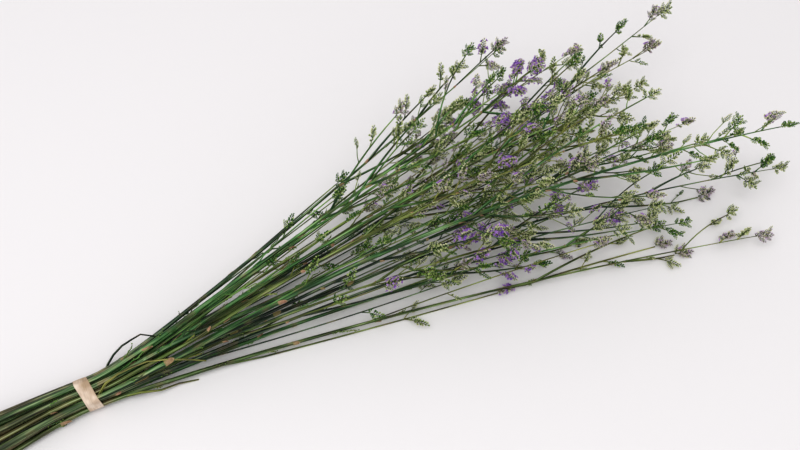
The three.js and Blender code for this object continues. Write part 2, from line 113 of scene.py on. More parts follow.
NECK_PULL, NECK_ROUNDS, NECK_PUSHES, LAST_PUSHES = 0.04, 600, 4, 300
STEP, LAST_STATION, STATION_PUSHES, KEEP, LIFT_FADE, SIGHT = 5, 560, 12, 0.965, 40, 20
STEM_GAP, GAP_GROWTH, GAP_SLOPE = 0.4, 2.4, 0.015
BAND_WIDTH, BAND_THICKNESS, BAND_GAP = 10, 1.1, 0.3


# Points are plain tuples in full precision, so that the stems lie exactly where the solids do.
def add(a, b):
    return (a[0] + b[0], a[1] + b[1], a[2] + b[2])


def sub(a, b):
    return (a[0] - b[0], a[1] - b[1], a[2] - b[2])


def times(a, s):
    return (a[0] * s, a[1] * s, a[2] * s)


def dot(a, b):
    return a[0] * b[0] + a[1] * b[1] + a[2] * b[2]


def cross(a, b):
    return (a[1] * b[2] - a[2] * b[1], a[2] * b[0] - a[0] * b[2], a[0] * b[1] - a[1] * b[0])


def unit(a):
    return times(a, 1 / math.sqrt(dot(a, a)))


def mix(a, b, t):
    return a + (b - a) * t


def gap_at(x):
    """The room between neighbouring stems: least where the band holds them."""
    return STEM_GAP + min(GAP_GROWTH, max(0, abs(x) - BAND_WIDTH / 2) * GAP_SLOPE)


def push_apart(spots, radii, gap, floor):
    """One round of pushing discs apart, in the plane across the bunch, above a floor."""
    for i, a in enumerate(spots):
        for j in range(i + 1, len(spots)):
            b = spots[j]
            dy = b[0] - a[0]
            dz = b[1] - a[1]
            apart = math.sqrt(dy * dy + dz * dz)
            short = radii[i] + radii[j] + gap - apart
            if short <= 0:
                continue
            share = short / (2 * apart)
            a[0] -= dy * share
            a[1] -= dz * share
            b[0] += dy * share
            b[1] += dz * share
    for spot, radius in zip(spots, radii):
        spot[1] = max(spot[1], floor + radius)


def pack_neck(radii, floor):
    """Where the band holds each stem: discs drawn together until they touch."""
    spots = []
    for stem in STEMS:
        start = NECK_START + (stem.tip[2] - TIP_HEIGHT) * NECK_SHARE
        spots.append([stem.tip[1] * NECK_SHARE, start])
    for n in range(NECK_ROUNDS):
        pull = 1 - NECK_PULL * (1 - n / NECK_ROUNDS)
        for spot in spots:
            spot[0] *= pull
            spot[1] = NECK_MIDDLE + (spot[1] - NECK_MIDDLE) * pull
        for _ in range(NECK_PUSHES):
            push_apart(spots, radii, gap_at(0), floor)
    for _ in range(LAST_PUSHES):
        push_apart(spots, radii, gap_at(0), floor)
    return spots


def spread_share(x, end):
    """A share that grows from 0 at the band to 1 at `end`, with no kink at the band."""
    return (math.sqrt(x * x + BEND * BEND) - BEND) / (math.sqrt(end * end + BEND * BEND) - BEND)


def radius_at(stem, x):
    """How thick the solid of a stem is at x."""
    if x < 0:
        return stem.radius * mix(1, END_SHARE, -x / stem.tail)
    return mix(stem.radius, TIP_RADIUS, x / stem.tip[0])


def free_spot(stem, neck, x, lift):
    """Where a stem would lie at x if no neighbour pushed it."""
    if x < 0:
        g = spread_share(-x, stem.tail)
        rest = neck[1] - lift - stem.radius
        rise = stem.radius + rest * (1 + TAIL_RISE * g) + lift * (1 - g)
        return (neck[0] * (1 + TAIL_SPREAD * g) + TAIL_DRIFT * g, rise)
    g = spread_share(x, stem.tip[0])
    hump = 4 * g * (1 - g)
    y = mix(neck[0], stem.tip[1], g) + stem.bow[0] * hump
    return (y, mix(neck[1], stem.tip[2], g) + stem.bow[1] * hump)


def lay_stems():
    """For each stem, where its middle lies at every station along x."""
    lift = BAND_THICKNESS + BAND_GAP
    neck = pack_neck([s.radius for s in STEMS], lift)
    routes = [{} for _ in STEMS]
    for way in (-1, 1):
        pushes = [(0, 0) for _ in STEMS]
        for station in range(LAST_STATION // STEP + 1):
            x = station * STEP * way
            live = [i for i, s in enumerate(STEMS) if x <= s.tip[0] + STEP and -x <= s.tail + STEP]
            free = [free_spot(STEMS[i], neck[i], x, lift) for i in live]
            spots = [[f[0] + pushes[i][0], f[1] + pushes[i][1]] for i, f in zip(live, free)]
            radii = [radius_at(STEMS[i], x) for i in live]
            floor = lift * max(0, 1 - abs(x) / LIFT_FADE)
            for _ in range(STATION_PUSHES):
                push_apart(spots, radii, gap_at(x), floor)
            for i, f, spot in zip(live, free, spots):
                routes[i][x] = spot
                pushes[i] = ((spot[0] - f[0]) * KEEP, (spot[1] - f[1]) * KEEP)
    return routes


def route_point(route, x):
    """The middle of a stem at any x, between the two stations next to it."""
    low = math.floor(x / STEP) * STEP
    a = route[low]
    b = route.get(low + STEP, a)
    t = (x - low) / STEP
    return (x, mix(a[0], b[0], t), mix(a[1], b[1], t))


def point_on(stalk, x):
    """The middle of a stalk at any x, on the straight pieces between its rings."""
    last = next(k for k in range(1, len(stalk)) if stalk[k][0] >= x or k == len(stalk) - 1)
    a, b = stalk[last - 1], stalk[last]
    return add(a, times(sub(b, a), (x - a[0]) / (b[0] - a[0])))


routes = lay_stems()
stalks = []
for stem, route in zip(STEMS, routes):
    rings = [x for x in RINGS if x < stem.tip[0] - LAST_RING_CLEAR]
    stalks.append([route_point(route, x) for x in [-stem.tail, *rings, stem.tip[0]]])

# --- The growth of the panicles ------------------------------------------------------------------
# Branches leave the stalk at a narrow angle, each turned round it from the last, and end in a head
# of florets. One that finds no room between what is there already is left out.

BRANCH_ANGLES, BRANCH_TURN, STEM_TURN = (17, 12), 137.5, 120  # angles: the least, and its spread
RETRY_TURN, TRIES, SHRINK, JITTER = 47, 32, 0.012, 0.6
REACH, REACH_LOW, REACH_SPREAD = 0.52, 0.6, 0.8
SHORTEST, LONGEST, FOLLOW, LAST_BRANCH = 32, 150, 0.3, 0.88
BRANCH_RADIUS, BRANCH_STEPS = 0.95, 2
HEAD_LENGTH, HEAD_SPREAD, HEAD_RADIUS, HEAD_FLAT, HEAD_CLEAR = 14, 3, 4, 0.8, 0.5
HEAD_STALK, HEAD_STALK_SPREAD, HEAD_STALK_RADIUS, HEAD_SPACING = 7, 5, 0.6, 14
HEAD_ANGLE, HEAD_AZIMUTH, HEAD_TURN_SPREAD, SIDE_HEAD = 38, 80, 0.8, 0.66
PARALLEL = 1e-9  # two straight pieces count as parallel below this
STEEP = 0.9  # a direction counts as upright above this
DRAW_FACTOR, DRAW_MODULUS, SEED = 48271, 2147483647, 20
# The fan that the flowers fill: x, lowest y, highest y, highest z.
FAN = [(0, -14, 14, 26), (240, -32, 80, 78), (350, -50, 114, 118), (460, -70, 128, 128),
       (570, -96, 122, 110)]
SLAB = 20  # pieces are looked for in slabs of this width across the bunch

Rod = namedtuple("Rod", "start along radius owner kind low high")
Head = namedtuple("Head", "root neck tip")
Branch = namedtuple("Branch", "root follow way length head side_head rods")


def numbers(seed):
    """A repeatable stream of numbers from 0 to 1: the same seed always grows the same bunch."""
    state = seed

    def draw():
        nonlocal state
        state = state * DRAW_FACTOR % DRAW_MODULUS
        return state / DRAW_MODULUS

    return draw


def across(u):
    """Two directions square to u and to each other."""
    side = unit(cross((1, 0, 0) if abs(u[2]) > STEEP else (0, 0, 1), u))
    return side, cross(u, side)


def tipped(u, angle, azimuth):
    """u, tipped by an angle towards the direction that lies at `azimuth` round it."""
    side, up = across(u)
    out = add(times(side, math.cos(azimuth)), times(up, math.sin(azimuth)))
    return add(times(u, math.cos(angle)), times(out, math.sin(angle)))


def way_between(p1, d1, p2, d2):
    """The shortest way between two straight pieces, each from p along d."""
    r = sub(p1, p2)
    a = dot(d1, d1)
    e = dot(d2, d2)
    f = dot(d2, r)
    b = dot(d1, d2)
    c = dot(d1, r)
    square = a * e - b * b
    s = min(1, max(0, (b * f - c * e) / square)) if square > PARALLEL else 0
    t = (b * s + f) / e
    if t < 0:
        t = 0
        s = min(1, max(0, -c / a))
    elif t > 1:
        t = 1
        s = min(1, max(0, (b - c) / a))
    gap = sub(add(p1, times(d1, s)), add(p2, times(d2, t)))
    return math.sqrt(dot(gap, gap))


def rod(start, end, radius, owner, kind):
    """A straight piece that takes up room. `owner` is its stem."""
    room = radius + HEAD_CLEAR / 2
    low = tuple(min(a, b) - room for a, b in zip(start, end))
    high = tuple(max(a, b) + room for a, b in zip(start, end))
    return Rod(start, sub(end, start), radius, owner, kind, low, high)


def meets(a, b):
    """Heads of one stem keep clear of each other, but its stalks may touch."""
    if a.owner == b.owner and (a.kind != "head" or b.kind != "head"):
        return False
    if any(a.low[k] > b.high[k] or b.low[k] > a.high[k] for k in range(3)):
        return False
    return way_between(a.start, a.along, b.start, b.along) < a.radius + b.radius + HEAD_CLEAR


def slabs_of(piece):
    return range(int(piece.low[0] // SLAB), int(piece.high[0] // SLAB) + 1)


crowd = defaultdict(list)


def settle(pieces):
    for piece in pieces:
        for slab in slabs_of(piece):
            crowd[slab].append(piece)


def in_fan(p):
    """Whether a point lies in the fan that the flowers fill."""
    last = next(k for k in range(1, len(FAN)) if FAN[k][0] >= p[0] or k == len(FAN) - 1)
    a, b = FAN[last - 1], FAN[last]
    t = (p[0] - a[0]) / (b[0] - a[0])
    low, high, top = (mix(a[k], b[k], t) for k in (1, 2, 3))
    return low < p[1] < high and p[2] < top


def place(attempt, tries):
    """Puts what attempt(k) grows in its place, at the first k at which there is room for it."""
    for k in range(tries):
        grown = attempt(k)
        if not in_fan(grown.rods[0].start):
            continue
        if any(meets(p, other) for p in grown.rods for slab in slabs_of(p) for other in crowd[slab]):
            continue
        settle(grown.rods)
        return grown
    return None


def on_table(p, radius):
    return (p[0], p[1], max(p[2], radius))


def make_head(root, direction, stalk, length, lowest=HEAD_RADIUS * HEAD_FLAT):
    """A head at the end of a stalk of its own, no lower than `lowest`."""
    neck = on_table(add(root, times(direction, stalk)), lowest)
    return Head(root, neck, on_table(add(neck, times(direction, length)), lowest))


def branch_point(root, follow, way, length, t):
    """A branch leaves along `way` and turns a little to follow its stem."""
    lean = FOLLOW * t
    turned = add(times(way, 1 - lean), times(follow, lean))
    return on_table(add(root, times(turned, length * t)), BRANCH_RADIUS)


def in_turns(repeats, grow):
    """Calls grow(stem, owner, n) for the first of each stem's repeats, then the second, and on."""
    for n in range(max(repeats(stem) for stem in STEMS)):
        for owner, stem in enumerate(STEMS):
            if n < repeats(stem):
                grow(stem, owner, n)


random = numbers(SEED)
heads = [[] for _ in STEMS]
branches = [[] for _ in STEMS]


def head_length():
    return HEAD_LENGTH + HEAD_SPREAD * (random() - 0.5)


def stalk_length():
    return HEAD_STALK + HEAD_STALK_SPREAD * (random() - 0.5)


def head_rod(head, owner, radius=HEAD_RADIUS):
    return rod(head.neck, head.tip, radius, owner, "head")


def stalk_rod(head, owner):
    return rod(head.root, head.neck, HEAD_STALK_RADIUS, owner, "stalk")


for owner, (stem, stalk) in enumerate(zip(STEMS, stalks)):
    settle([rod(a, b, radius_at(stem, a[0]), owner, "stalk") for a, b in zip(stalk, stalk[1:])])
    head = make_head(stalk[-1], unit(sub(stalk[-1], stalk[-2])), 0, head_length())
    settle([head_rod(head, owner)])
    heads[owner].append(head)


def grow_forked(owner, n, root, follow, full, angles, tries, room=BRANCH_RADIUS):
    """Grows a branch, with a head at its end and one on its side, where it finds room."""
    angle = math.radians(angles[0] + angles[1] * random())
    turn = math.radians(BRANCH_TURN * n + STEM_TURN * owner) + random()
    end_length, side_length, side_stalk = head_length(), head_length(), stalk_length()

    def attempt(k):
        azimuth = turn + k * math.radians(RETRY_TURN)
        way = tipped(follow, angle, azimuth)
        length = full * (1 - SHRINK * k)
        middle = branch_point(root, follow, way, length, 0.5)
        end = branch_point(root, follow, way, length, 1)
        end_way = unit(sub(end, middle))
        head = make_head(end, end_way, 0, end_length)
        base = add(middle, times(sub(end, middle), SIDE_HEAD * BRANCH_STEPS - 1))
        side = tipped(end_way, math.radians(HEAD_ANGLE), azimuth - math.radians(HEAD_AZIMUTH))
        side_head = make_head(base, side, side_stalk, side_length)
        rods = [head_rod(head, owner), head_rod(side_head, owner), stalk_rod(side_head, owner)]
        rods += [rod(a, b, room, owner, "stalk") for a, b in ((root, middle), (middle, end))]
        return Branch(root, follow, way, length, head, side_head, rods)

    grown = place(attempt, tries)
    if grown:
        branches[owner].append(grown)


def grow_branch(stem, owner, n):
    share = (n + JITTER * random()) / stem.branches
    x = stem.tip[0] * mix(stem.start, LAST_BRANCH, share)
    root = point_on(stalks[owner], x)
    follow = unit(sub(point_on(stalks[owner], min(x + SIGHT, stem.tip[0])), root))
    reach = REACH * (REACH_LOW + REACH_SPREAD * random())
    full = min(LONGEST, max(SHORTEST, (stem.tip[0] - x) * reach))
    grow_forked(owner, n, root, follow, full, BRANCH_ANGLES, TRIES)


Spray = namedtuple("Spray", "form rods")  # form: a head, or the joints of a dry twig


def grow_head(stem, owner, n):
    x = stem.tip[0] - (n + 1) * HEAD_SPACING
    root = point_on(stalks[owner], x)
    follow = unit(sub(root, point_on(stalks[owner], x - SIGHT)))
    length = head_length()
    stalk = stalk_length()
    turn = math.pi * n + owner + HEAD_TURN_SPREAD * random()

    def attempt(k):
        way = tipped(follow, math.radians(HEAD_ANGLE), turn + k * math.radians(RETRY_TURN))
        head = make_head(root, way, stalk, length)
        return Spray(head, [head_rod(head, owner), stalk_rod(head, owner)])

    grown = place(attempt, TRIES)
    if grown:
        heads[owner].append(grown.form)


in_turns(lambda stem: stem.branches, grow_branch)
in_turns(lambda stem: stem.heads, grow_head)

# --- The finer growth ----------------------------------------------------------------------------
# Between the main branches each stem has thin runners that start low and lie almost along it, and
# its branches carry short twigs, each with a small head. They find their room as the branches do.

# How full each stem is: its share of the usual number of runners and twigs.
FULLNESS = [1.0, 1.7, 1.7, 0.5, 0.3, 0.6, 0.8, 0.3, 0.7, 0.9, 0.8, 1.9, 1.8, 0.6, 0.3, 0.4, 0.6,
            0.8, 2.0]
RUNNERS, RUNNER_FROM, RUNNER_SHORTEST, RUNNER_LONGEST = 5, 16, 90, 230
RUNNER_ANGLES, RUNNER_TRIES, RUNNER_THINNEST, THIN_ROOM = (5, 6), 12, 0.45, 0.3
CROSSERS, CROSSER_ANGLES, CROSSER_TRIES = 3, (28, 28), 24
CROSSER_SHORTEST, CROSSER_LONGEST, CROSSER_LAST = 25, 75, 0.92
FLOWERS_FROM = 228  # nothing flowers nearer to the band
SHOOT_STEPS, RUNNER_STEPS = 8, 12
TWIG_SPACING, TWIG_FIRST, TWIG_LAST, TWIG_TRIES = 15, 0.3, 0.94, 6
UPPER_FIRST, UPPER_LAST, UPPER_STEPS = 0.1, 0.97, 20  # the twigs on the flowering part of a stalk
TWIG_ANGLE, TWIG_SPREAD, TWIG_SHORTEST, TWIG_LONGEST, TWIG_BOW = 28, 30, 5, 22, 0.06
SMALL_LENGTH, SMALL_SPREAD, SMALL_RADIUS = 9, 3, 2.8
ROUND = 6  # radians: a random turn goes almost all the way round
# The radii of the finer shoots where they start and end, and how many spikes the heads have.
BRANCH_END, HEAD_STALK_END, SIDE_STALK, TWIG = 0.42, 0.4, (0.5, 0.35), (0.38, 0.3)
STALK_SPIKES, BRANCH_SPIKES, SIDE_SPIKES, TWIG_SPIKES = 6, 5, 3, 2

Shoot = namedtuple("Shoot", "points base end")
Cluster = namedtuple("Cluster", "head spikes")


def evenly(first, last, count):
    """So many values, evenly spaced from the first to the last."""
    return [mix(first, last, k / (count - 1)) for k in range(count)]


def walk(points, share):
    """The point at a share of the way along a row of points, and the way that it goes there."""
    place_on = share * (len(points) - 1)
    k = min(int(place_on), len(points) - 2)
    a, b = points[k], points[k + 1]
    return add(a, times(sub(b, a), place_on - k)), unit(sub(b, a))


def leaving(owner, x):
    """Where a shoot leaves its stalk at x, and the way that the stalk goes there."""
    root = route_point(routes[owner], x)
    return root, unit(sub(route_point(routes[owner], x + SIGHT), root))


def runners_of(stem):
    return round(RUNNERS * FULLNESS[STEMS.index(stem)])


def grow_runner(stem, owner, n):
    """A thin branch that starts low, lies almost along its stalk and ends among the flowers."""
    x = mix(RUNNER_FROM, stem.tip[0] * stem.start, (n + random()) / runners_of(stem))
    wanted = max(mix(RUNNER_SHORTEST, RUNNER_LONGEST, random()), FLOWERS_FROM - x)
    full = min(wanted, stem.tip[0] - x - LAST_RING_CLEAR)
    grow_forked(owner, n, *leaving(owner, x), full, RUNNER_ANGLES, RUNNER_TRIES, THIN_ROOM)


def crossers_of(stem):
    return round(CROSSERS * FULLNESS[STEMS.index(stem)])


def grow_crosser(stem, owner, n):
    """A thin side branch that leaves its stalk at a wide angle and crosses others."""
    share = (n + random()) / crossers_of(stem)
    x = mix(max(FLOWERS_FROM, stem.tip[0] * stem.start), stem.tip[0] * CROSSER_LAST, share)
    full = min(mix(CROSSER_SHORTEST, CROSSER_LONGEST, random()), stem.tip[0] - x + LAST_RING_CLEAR)
    grow_forked(owner, n, *leaving(owner, x), full, CROSSER_ANGLES, CROSSER_TRIES, THIN_ROOM)


# The leading stem lies on top of the others, so nothing finer grows right over it.
LEAD_STATIONS, LEAD_HEIGHTS, LEAD_ROOM = (260, 340, 420, 500), (7, 15, 24), 2.5
for height in LEAD_HEIGHTS:
    row = [add(route_point(routes[0], x), times(view_back, height)) for x in LEAD_STATIONS]
    settle([rod(a, b, LEAD_ROOM, None, "stalk") for a, b in zip(row, row[1:])])

thick = [len(found) for found in branches]  # so many of each stem's branches are the solids' own
in_turns(runners_of, grow_runner)
in_turns(crossers_of, grow_crosser)

shoots = [[] for _ in STEMS]
clusters = [[] for _ in STEMS]
for owner, (stem, route) in enumerate(zip(STEMS, routes)):
    for head in heads[owner]:
        if head.root != head.neck:
            root = route_point(route, head.root[0])
            shoots[owner].append(Shoot([root, head.neck], HEAD_STALK_RADIUS, HEAD_STALK_END))
        clusters[owner].append(Cluster(head, STALK_SPIKES))
    for n, branch in enumerate(branches[owner]):
        start = sub(route_point(route, branch.root[0]), branch.root)
        steps = RUNNER_STEPS if branch.length > RUNNER_SHORTEST else SHOOT_STEPS
        points = []
        for k in range(steps + 1):
            t = k / steps
            bare = branch_point(branch.root, branch.follow, branch.way, branch.length, t)
            points.append(add(bare, times(start, (1 - t) * (1 - t))))
        base = BRANCH_RADIUS if n < thick[owner] else mix(RUNNER_THINNEST, BRANCH_RADIUS, random())
        shoots[owner].append(Shoot(points, base, BRANCH_END))
        side_root = walk(points, SIDE_HEAD)[0]
        shoots[owner].append(Shoot([side_root, branch.side_head.neck], *SIDE_STALK))
        clusters[owner].append(Cluster(branch.head, BRANCH_SPIKES))
        clusters[owner].append(Cluster(branch.side_head, SIDE_SPIKES))


def grow_twigs(owner, points, first, last, length):
    """Short twigs with small heads, in turns round the shoot that carries them."""
    count = int((last - first) * length / TWIG_SPACING * FULLNESS[owner])
    for n in range(count):
        root, follow = walk(points, mix(first, last, (n + random()) / count))
        if root[0] < FLOWERS_FROM:
            continue
        angle = math.radians(TWIG_ANGLE + TWIG_SPREAD * random())
        turn = math.radians(BRANCH_TURN * n) + ROUND * random()
        stalk = mix(TWIG_SHORTEST, TWIG_LONGEST, random() * random())
        small = SMALL_LENGTH + SMALL_SPREAD * (random() - 0.5)

        def attempt(k):
            way = tipped(follow, angle, turn + k * math.radians(RETRY_TURN))
            head = make_head(root, way, stalk, small, SMALL_RADIUS)
            return Spray(head, [head_rod(head, owner, SMALL_RADIUS), stalk_rod(head, owner)])

        grown = place(attempt, TWIG_TRIES)
        if grown:
            middle = times(add(root, grown.form.neck), 0.5)
            bowed = add(middle, times(follow, -TWIG_BOW * stalk))
            shoots[owner].append(Shoot([root, bowed, grown.form.neck], *TWIG))
            clusters[owner].append(Cluster(grown.form, TWIG_SPIKES))


for owner, (stem, route) in enumerate(zip(STEMS, routes)):
    for shoot in list(shoots[owner]):
        if len(shoot.points) > SHOOT_STEPS:
            reach = sub(shoot.points[-1], shoot.points[0])
            grow_twigs(owner, shoot.points, TWIG_FIRST, TWIG_LAST, math.sqrt(dot(reach, reach)))
    flowering = stem.tip[0] * stem.start
    upper = [route_point(route, x) for x in evenly(flowering, stem.tip[0], UPPER_STEPS + 1)]
    grow_twigs(owner, upper, UPPER_FIRST, UPPER_LAST, stem.tip[0] - flowering)

# --- The dry twigs -------------------------------------------------------------------------------
# Below the flowers a stalk has a few thin twigs that dried before they flowered. Each runs in a
# zigzag from joint to joint, with a tiny bud at each joint that never opened.

DRY_FIRST, DRY_LAST, DRY_SPACING, DRY_TRIES = -70, 250, 52, 10
DRY_SHORTEST, DRY_LONGEST, DRY_JOINTS, DRY_ROOM, DRY_TWIG = 9, 56, 8, 0.6, (0.52, 0.34)
DRY_LEAST_ANGLE, DRY_MOST_ANGLE, DRY_LEAST_BEND, DRY_MOST_BEND = 6, 26, 5, 26
DRY_NEAR_BAND, DRY_NEAR_CUT, DRY_BUD_LEAN = 14, 20, 0.5
dry_buds = [[] for _ in STEMS]


def grow_dry_twig(owner, x):
    root, follow = leaving(owner, x)
    angle = math.radians(mix(DRY_LEAST_ANGLE, DRY_MOST_ANGLE, random()))
    turn = ROUND * random()
    length = mix(DRY_SHORTEST, DRY_LONGEST, random() * random())
    bends = [math.radians(mix(DRY_LEAST_BEND, DRY_MOST_BEND, random())) for _ in range(DRY_JOINTS)]
    plane = ROUND * random()

    def attempt(k):
        way = tipped(follow, angle, turn + k * math.radians(RETRY_TURN))
        joints = [root]
        for n, bend in enumerate(bends):
            zigzag = tipped(way, bend if n else 0, plane + math.pi * n)
            joints.append(on_table(add(joints[-1], times(zigzag, length / DRY_JOINTS)), DRY_ROOM))
        return Spray(joints, [rod(a, b, DRY_ROOM, owner, "stalk") for a, b in zip(joints, joints[1:])])

    grown = place(attempt, DRY_TRIES)
    if grown:
        joints = grown.form
        shoots[owner].append(Shoot(joints, *DRY_TWIG))
        for n, (a, b) in enumerate(zip(joints[1:], joints[2:] + joints[-1:])):
            way = unit(sub(b, a)) if a != b else unit(sub(joints[-1], joints[-2]))
            dry_buds[owner].append((a, tipped(way, DRY_BUD_LEAN, math.pi * (n + 1))))


for owner, stem in enumerate(STEMS):
    x = max(DRY_FIRST, DRY_NEAR_CUT - stem.tail) + DRY_SPACING * random()
    while x < min(DRY_LAST, stem.tip[0] * stem.start):
        if x > DRY_NEAR_BAND or x < -2 * DRY_NEAR_BAND:
            grow_dry_twig(owner, x)
        x += DRY_SPACING * (0.5 + random())

# --- The loose twigs by the band -----------------------------------------------------------------
# Three thin bare twigs bend away from their stems and lie over the stalks by the band. Each has its
# stem, how young it is at its two ends and its way, as the spots (x, y) that it passes.

STRAYS = [
    (17, (0.9, 1.3), [(8.5, -5.5), (15, -3), (25, -0.5), (36, 0.5), (47, 0), (60, -4), (71, -9),
                      (85, -13)]),
    (16, (0.1, 0.2), [(12, 14), (18, 19), (24, 22.5), (32, 25), (40, 25), (48, 22.5), (57, 17)]),
    (17, (0.7, 0.9), [(21, -10), (34, -13), (48, -15.5), (61, -15), (75, -17)]),
]
STRAY_BASE, STRAY_END, STRAY_SINK = 1.0, 0.5, 2.5


def over_stalks(x, y):
    """How high the stalks reach at a spot."""
    tops = [0]
    for stem, route in zip(STEMS, routes):
        middle = route_point(route, x)
        room = radius_at(stem, x) ** 2 - (y - middle[1]) ** 2
        if room > 0:
            tops.append(middle[2] + math.sqrt(room))
    return max(tops)


def stray_points(spots):
    """The points of a twig that rests on the stalks, and bridges the gaps between them."""
    last = len(spots) - 1
    tops = [over_stalks(x, y) for x, y in spots]
    points = []
    for k, (x, y) in enumerate(spots):
        rest = max(tops[max(0, k - 1):k + 2])
        points.append((x, y, STRAY_BASE / 2 + max(rest, mix(tops[0], tops[-1], k / last))))
    points[0] = sub(points[0], (0, 0, STRAY_SINK))
    return points


# --- The flower heads ----------------------------------------------------------------------------
# A head is a few short spikes on a thin shoot: one in line with it and the others from its sides,
# in turns. Most are cream or still in bud, and those in flower stand together in a few patches.

Spike = namedtuple("Spike", "base way length outward kind")
MAIN_BASE, MAIN_SHARE, MAIN_LEAN = 0.2, 0.78, 0.15
SIDE_STEP, SIDE_LEAST, SIDE_SPREAD, SIDE_ANGLE, SIDE_ANGLE_SPREAD = 0.17, 0.44, 0.12, 40, 22
SIDE_TURN_SPREAD = 0.9
# Where the bunch is in full flower: the middle of each patch, its reach and its share of open heads.
IN_FLOWER = [((358, 66, 80), 32, 0.85), ((292, -14, 53), 18, 0.9), ((224, -15, 53), 20, 0.9),
             ((318, -40, 20), 28, 0.8), ((376, -24, 52), 24, 0.6), ((420, 60, 60), 26, 0.4)]
ELSEWHERE, LILAC_HEADS, BUD_HEADS = 0.04, 0.2, 0.2  # shares of open, lilac and closed heads elsewhere
LAST_OPEN = 430  # nothing has opened nearer to the tips


def kind_of(spot):
    """What a head at a spot is like. The draws of its neighbours don't change it."""
    chance = random()
    for middle, reach, share in IN_FLOWER:
        away = sub(spot, middle)
        if math.sqrt(dot(away, away)) < reach and chance < share:
            return "bloom"
    if spot[0] < FLOWERS_FROM:
        return "bud"
    if chance < ELSEWHERE and spot[0] < LAST_OPEN:
        return "bloom"
    if chance < ELSEWHERE + LILAC_HEADS:
        return "lilac"
    return "bud" if chance > 1 - BUD_HEADS else "cream"


def spikes_of(cluster):
    """The spikes of a head: one along it, the others from its side, in turns."""
    head = cluster.head
    along = sub(head.tip, head.neck)
    length = math.sqrt(dot(along, along))
    axis = times(along, 1 / length)
    kind = kind_of(head.neck)
    first_turn = ROUND * random()
    found = []
    for n in range(cluster.spikes):
        if n == 0:
            base = add(head.neck, times(axis, MAIN_BASE * length))
            way, reach = tipped(axis, MAIN_LEAN * random(), first_turn), MAIN_SHARE * length
        else:
            base = add(head.neck, times(axis, length * SIDE_STEP * (n - 1)))
            angle = math.radians(SIDE_ANGLE + SIDE_ANGLE_SPREAD * random())
            way = tipped(axis, angle, first_turn + math.pi * n + SIDE_TURN_SPREAD * random())
            reach = length * (SIDE_LEAST + SIDE_SPREAD * random())
        found.append(Spike(base, way, reach, sub(way, times(axis, dot(way, axis))), kind))
    return found


heads_spikes = [[spikes_of(cluster) for cluster in found] for found in clusters]

# --- The green of the stems ----------------------------------------------------------------------
# Stalks, branches and twigs: round, faintly ribbed, green, and yellower where they are young and
# thin, with pale streaks that are partly wax and partly painted highlight. The stalk is cut square
# behind the band, where its pith shows.

MM = 0.001
STALK_SIDES, RIB, SHOOT_SIDES, TWIG_SIDES = 10, 0.04, 6, 5
STALK_STATION, FIBRE_LENGTH = 10, 40
AXIS_SIDES, AXIS_RADII, AXIS_SHARE = 4, (0.32, 0.16), 0.8  # the thin axis of a spike
PITH_SHARE = 0.62
GREENS = {
    "stem_green": [(0.0, (0.022, 0.08, 0.024)), (0.35, (0.045, 0.15, 0.035)), (0.7, (0.11, 0.22, 0.045)),
                   (1.0, (0.24, 0.31, 0.075))],
    "stem_blue_green": [(0.0, (0.005, 0.018, 0.01)), (0.35, (0.01, 0.04, 0.016)),
                        (0.7, (0.04, 0.1, 0.025)), (1.0, (0.17, 0.23, 0.055))],
    "stem_olive": [(0.0, (0.045, 0.085, 0.018)), (0.35, (0.085, 0.13, 0.026)), (0.7, (0.17, 0.2, 0.04)),
                   (1.0, (0.3, 0.3, 0.08))],
}
# The third colour is that of the pale streaks, partly wax and partly painted highlight.
PITH, DRIED, WAX_AND_HIGHLIGHT = (0.46, 0.45, 0.27, 1), (0.14, 0.115, 0.055, 1), (0.36, 0.45, 0.25, 1)
FIBRE_STRETCH, FIBRE_FINENESS, FIBRE_DETAIL, PATCH_SCALE, PATCH_DETAIL = (1, 1, 0.035), 0.8, 3, 0.06, 2
FIBRE_BUMP, FIBRE_DEPTH, FIBRE_ROUGHNESS, UNEVEN_AGE = 0.25, 0.0003, (0.6, 0.38), (-0.3, 0.3)
# Each look of the skin goes from its first value to its second between two depths of a noise.
DRYING, DRYING_AT = (0, 0.85), (0.5, 0.66)
SHADING, SHADING_AT = (0, 2.3), (0.33, 0.7)
# The pale streaks: partly wax, partly painted highlight.
WAX_AND_HIGHLIGHT_SHARE, WAX_AND_HIGHLIGHT_AT = (0, 0.7), (0.52, 0.7)
DRIED_FROM, DRIED_REACH, LEAST_DRIED, MOST_DRIED = 60, 160, 0.1, 1.0  # towards the cut ends
STEM_SHADES = 0.42  # how far the stems differ in age from one to the next
STALK_AGE, YOUNGEST, LEAD_YOUNGEST = 0.4, 0.7, 0.3  # the last two: how much younger at the tip
SHOOT_AGES, TWIG_AGES, AXIS_AGES = (0.3, 0.85), (0.7, 1), (0.6, 0.9)  # where they start and end


def band_outline(grow, corners):
    """The outline (y, z) of the stems in the band, drawn round them like a stretched loop."""
    outline = []
    for k in range(corners):
        angle = 2 * math.pi * (k + 0.5) / corners
        c, s = math.cos(angle), math.sin(angle)
        spots = [(routes[i][0][0], routes[i][0][1], stem.radius) for i, stem in enumerate(STEMS)]
        y, z, radius = max(spots, key=lambda d: d[0] * c + d[1] * s + d[2])
        lowest = BAND_GAP + BAND_THICKNESS - grow
        height = z + (radius + grow) * s
        outline.append((y + (radius + grow) * c, max(lowest, height)))
    return outline


band_low, band_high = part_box("rubber_band")
CAD_CORNERS = 32
low_y = min(y for y, _ in band_outline(BAND_GAP + BAND_THICKNESS, CAD_CORNERS))
to_frame = Matrix.Translation(((band_low.x + band_high.x) / 2, band_low.y - low_y * MM, 0))
to_frame @= Matrix.Scale(MM, 4)

rod_shapes = {}


def as_mesh(bm, name):
    """Ends a bmesh: the mesh that it was made for."""
    mesh = bpy.data.meshes.new(name)
    bm.to_mesh(mesh)
    bm.free()
    return mesh


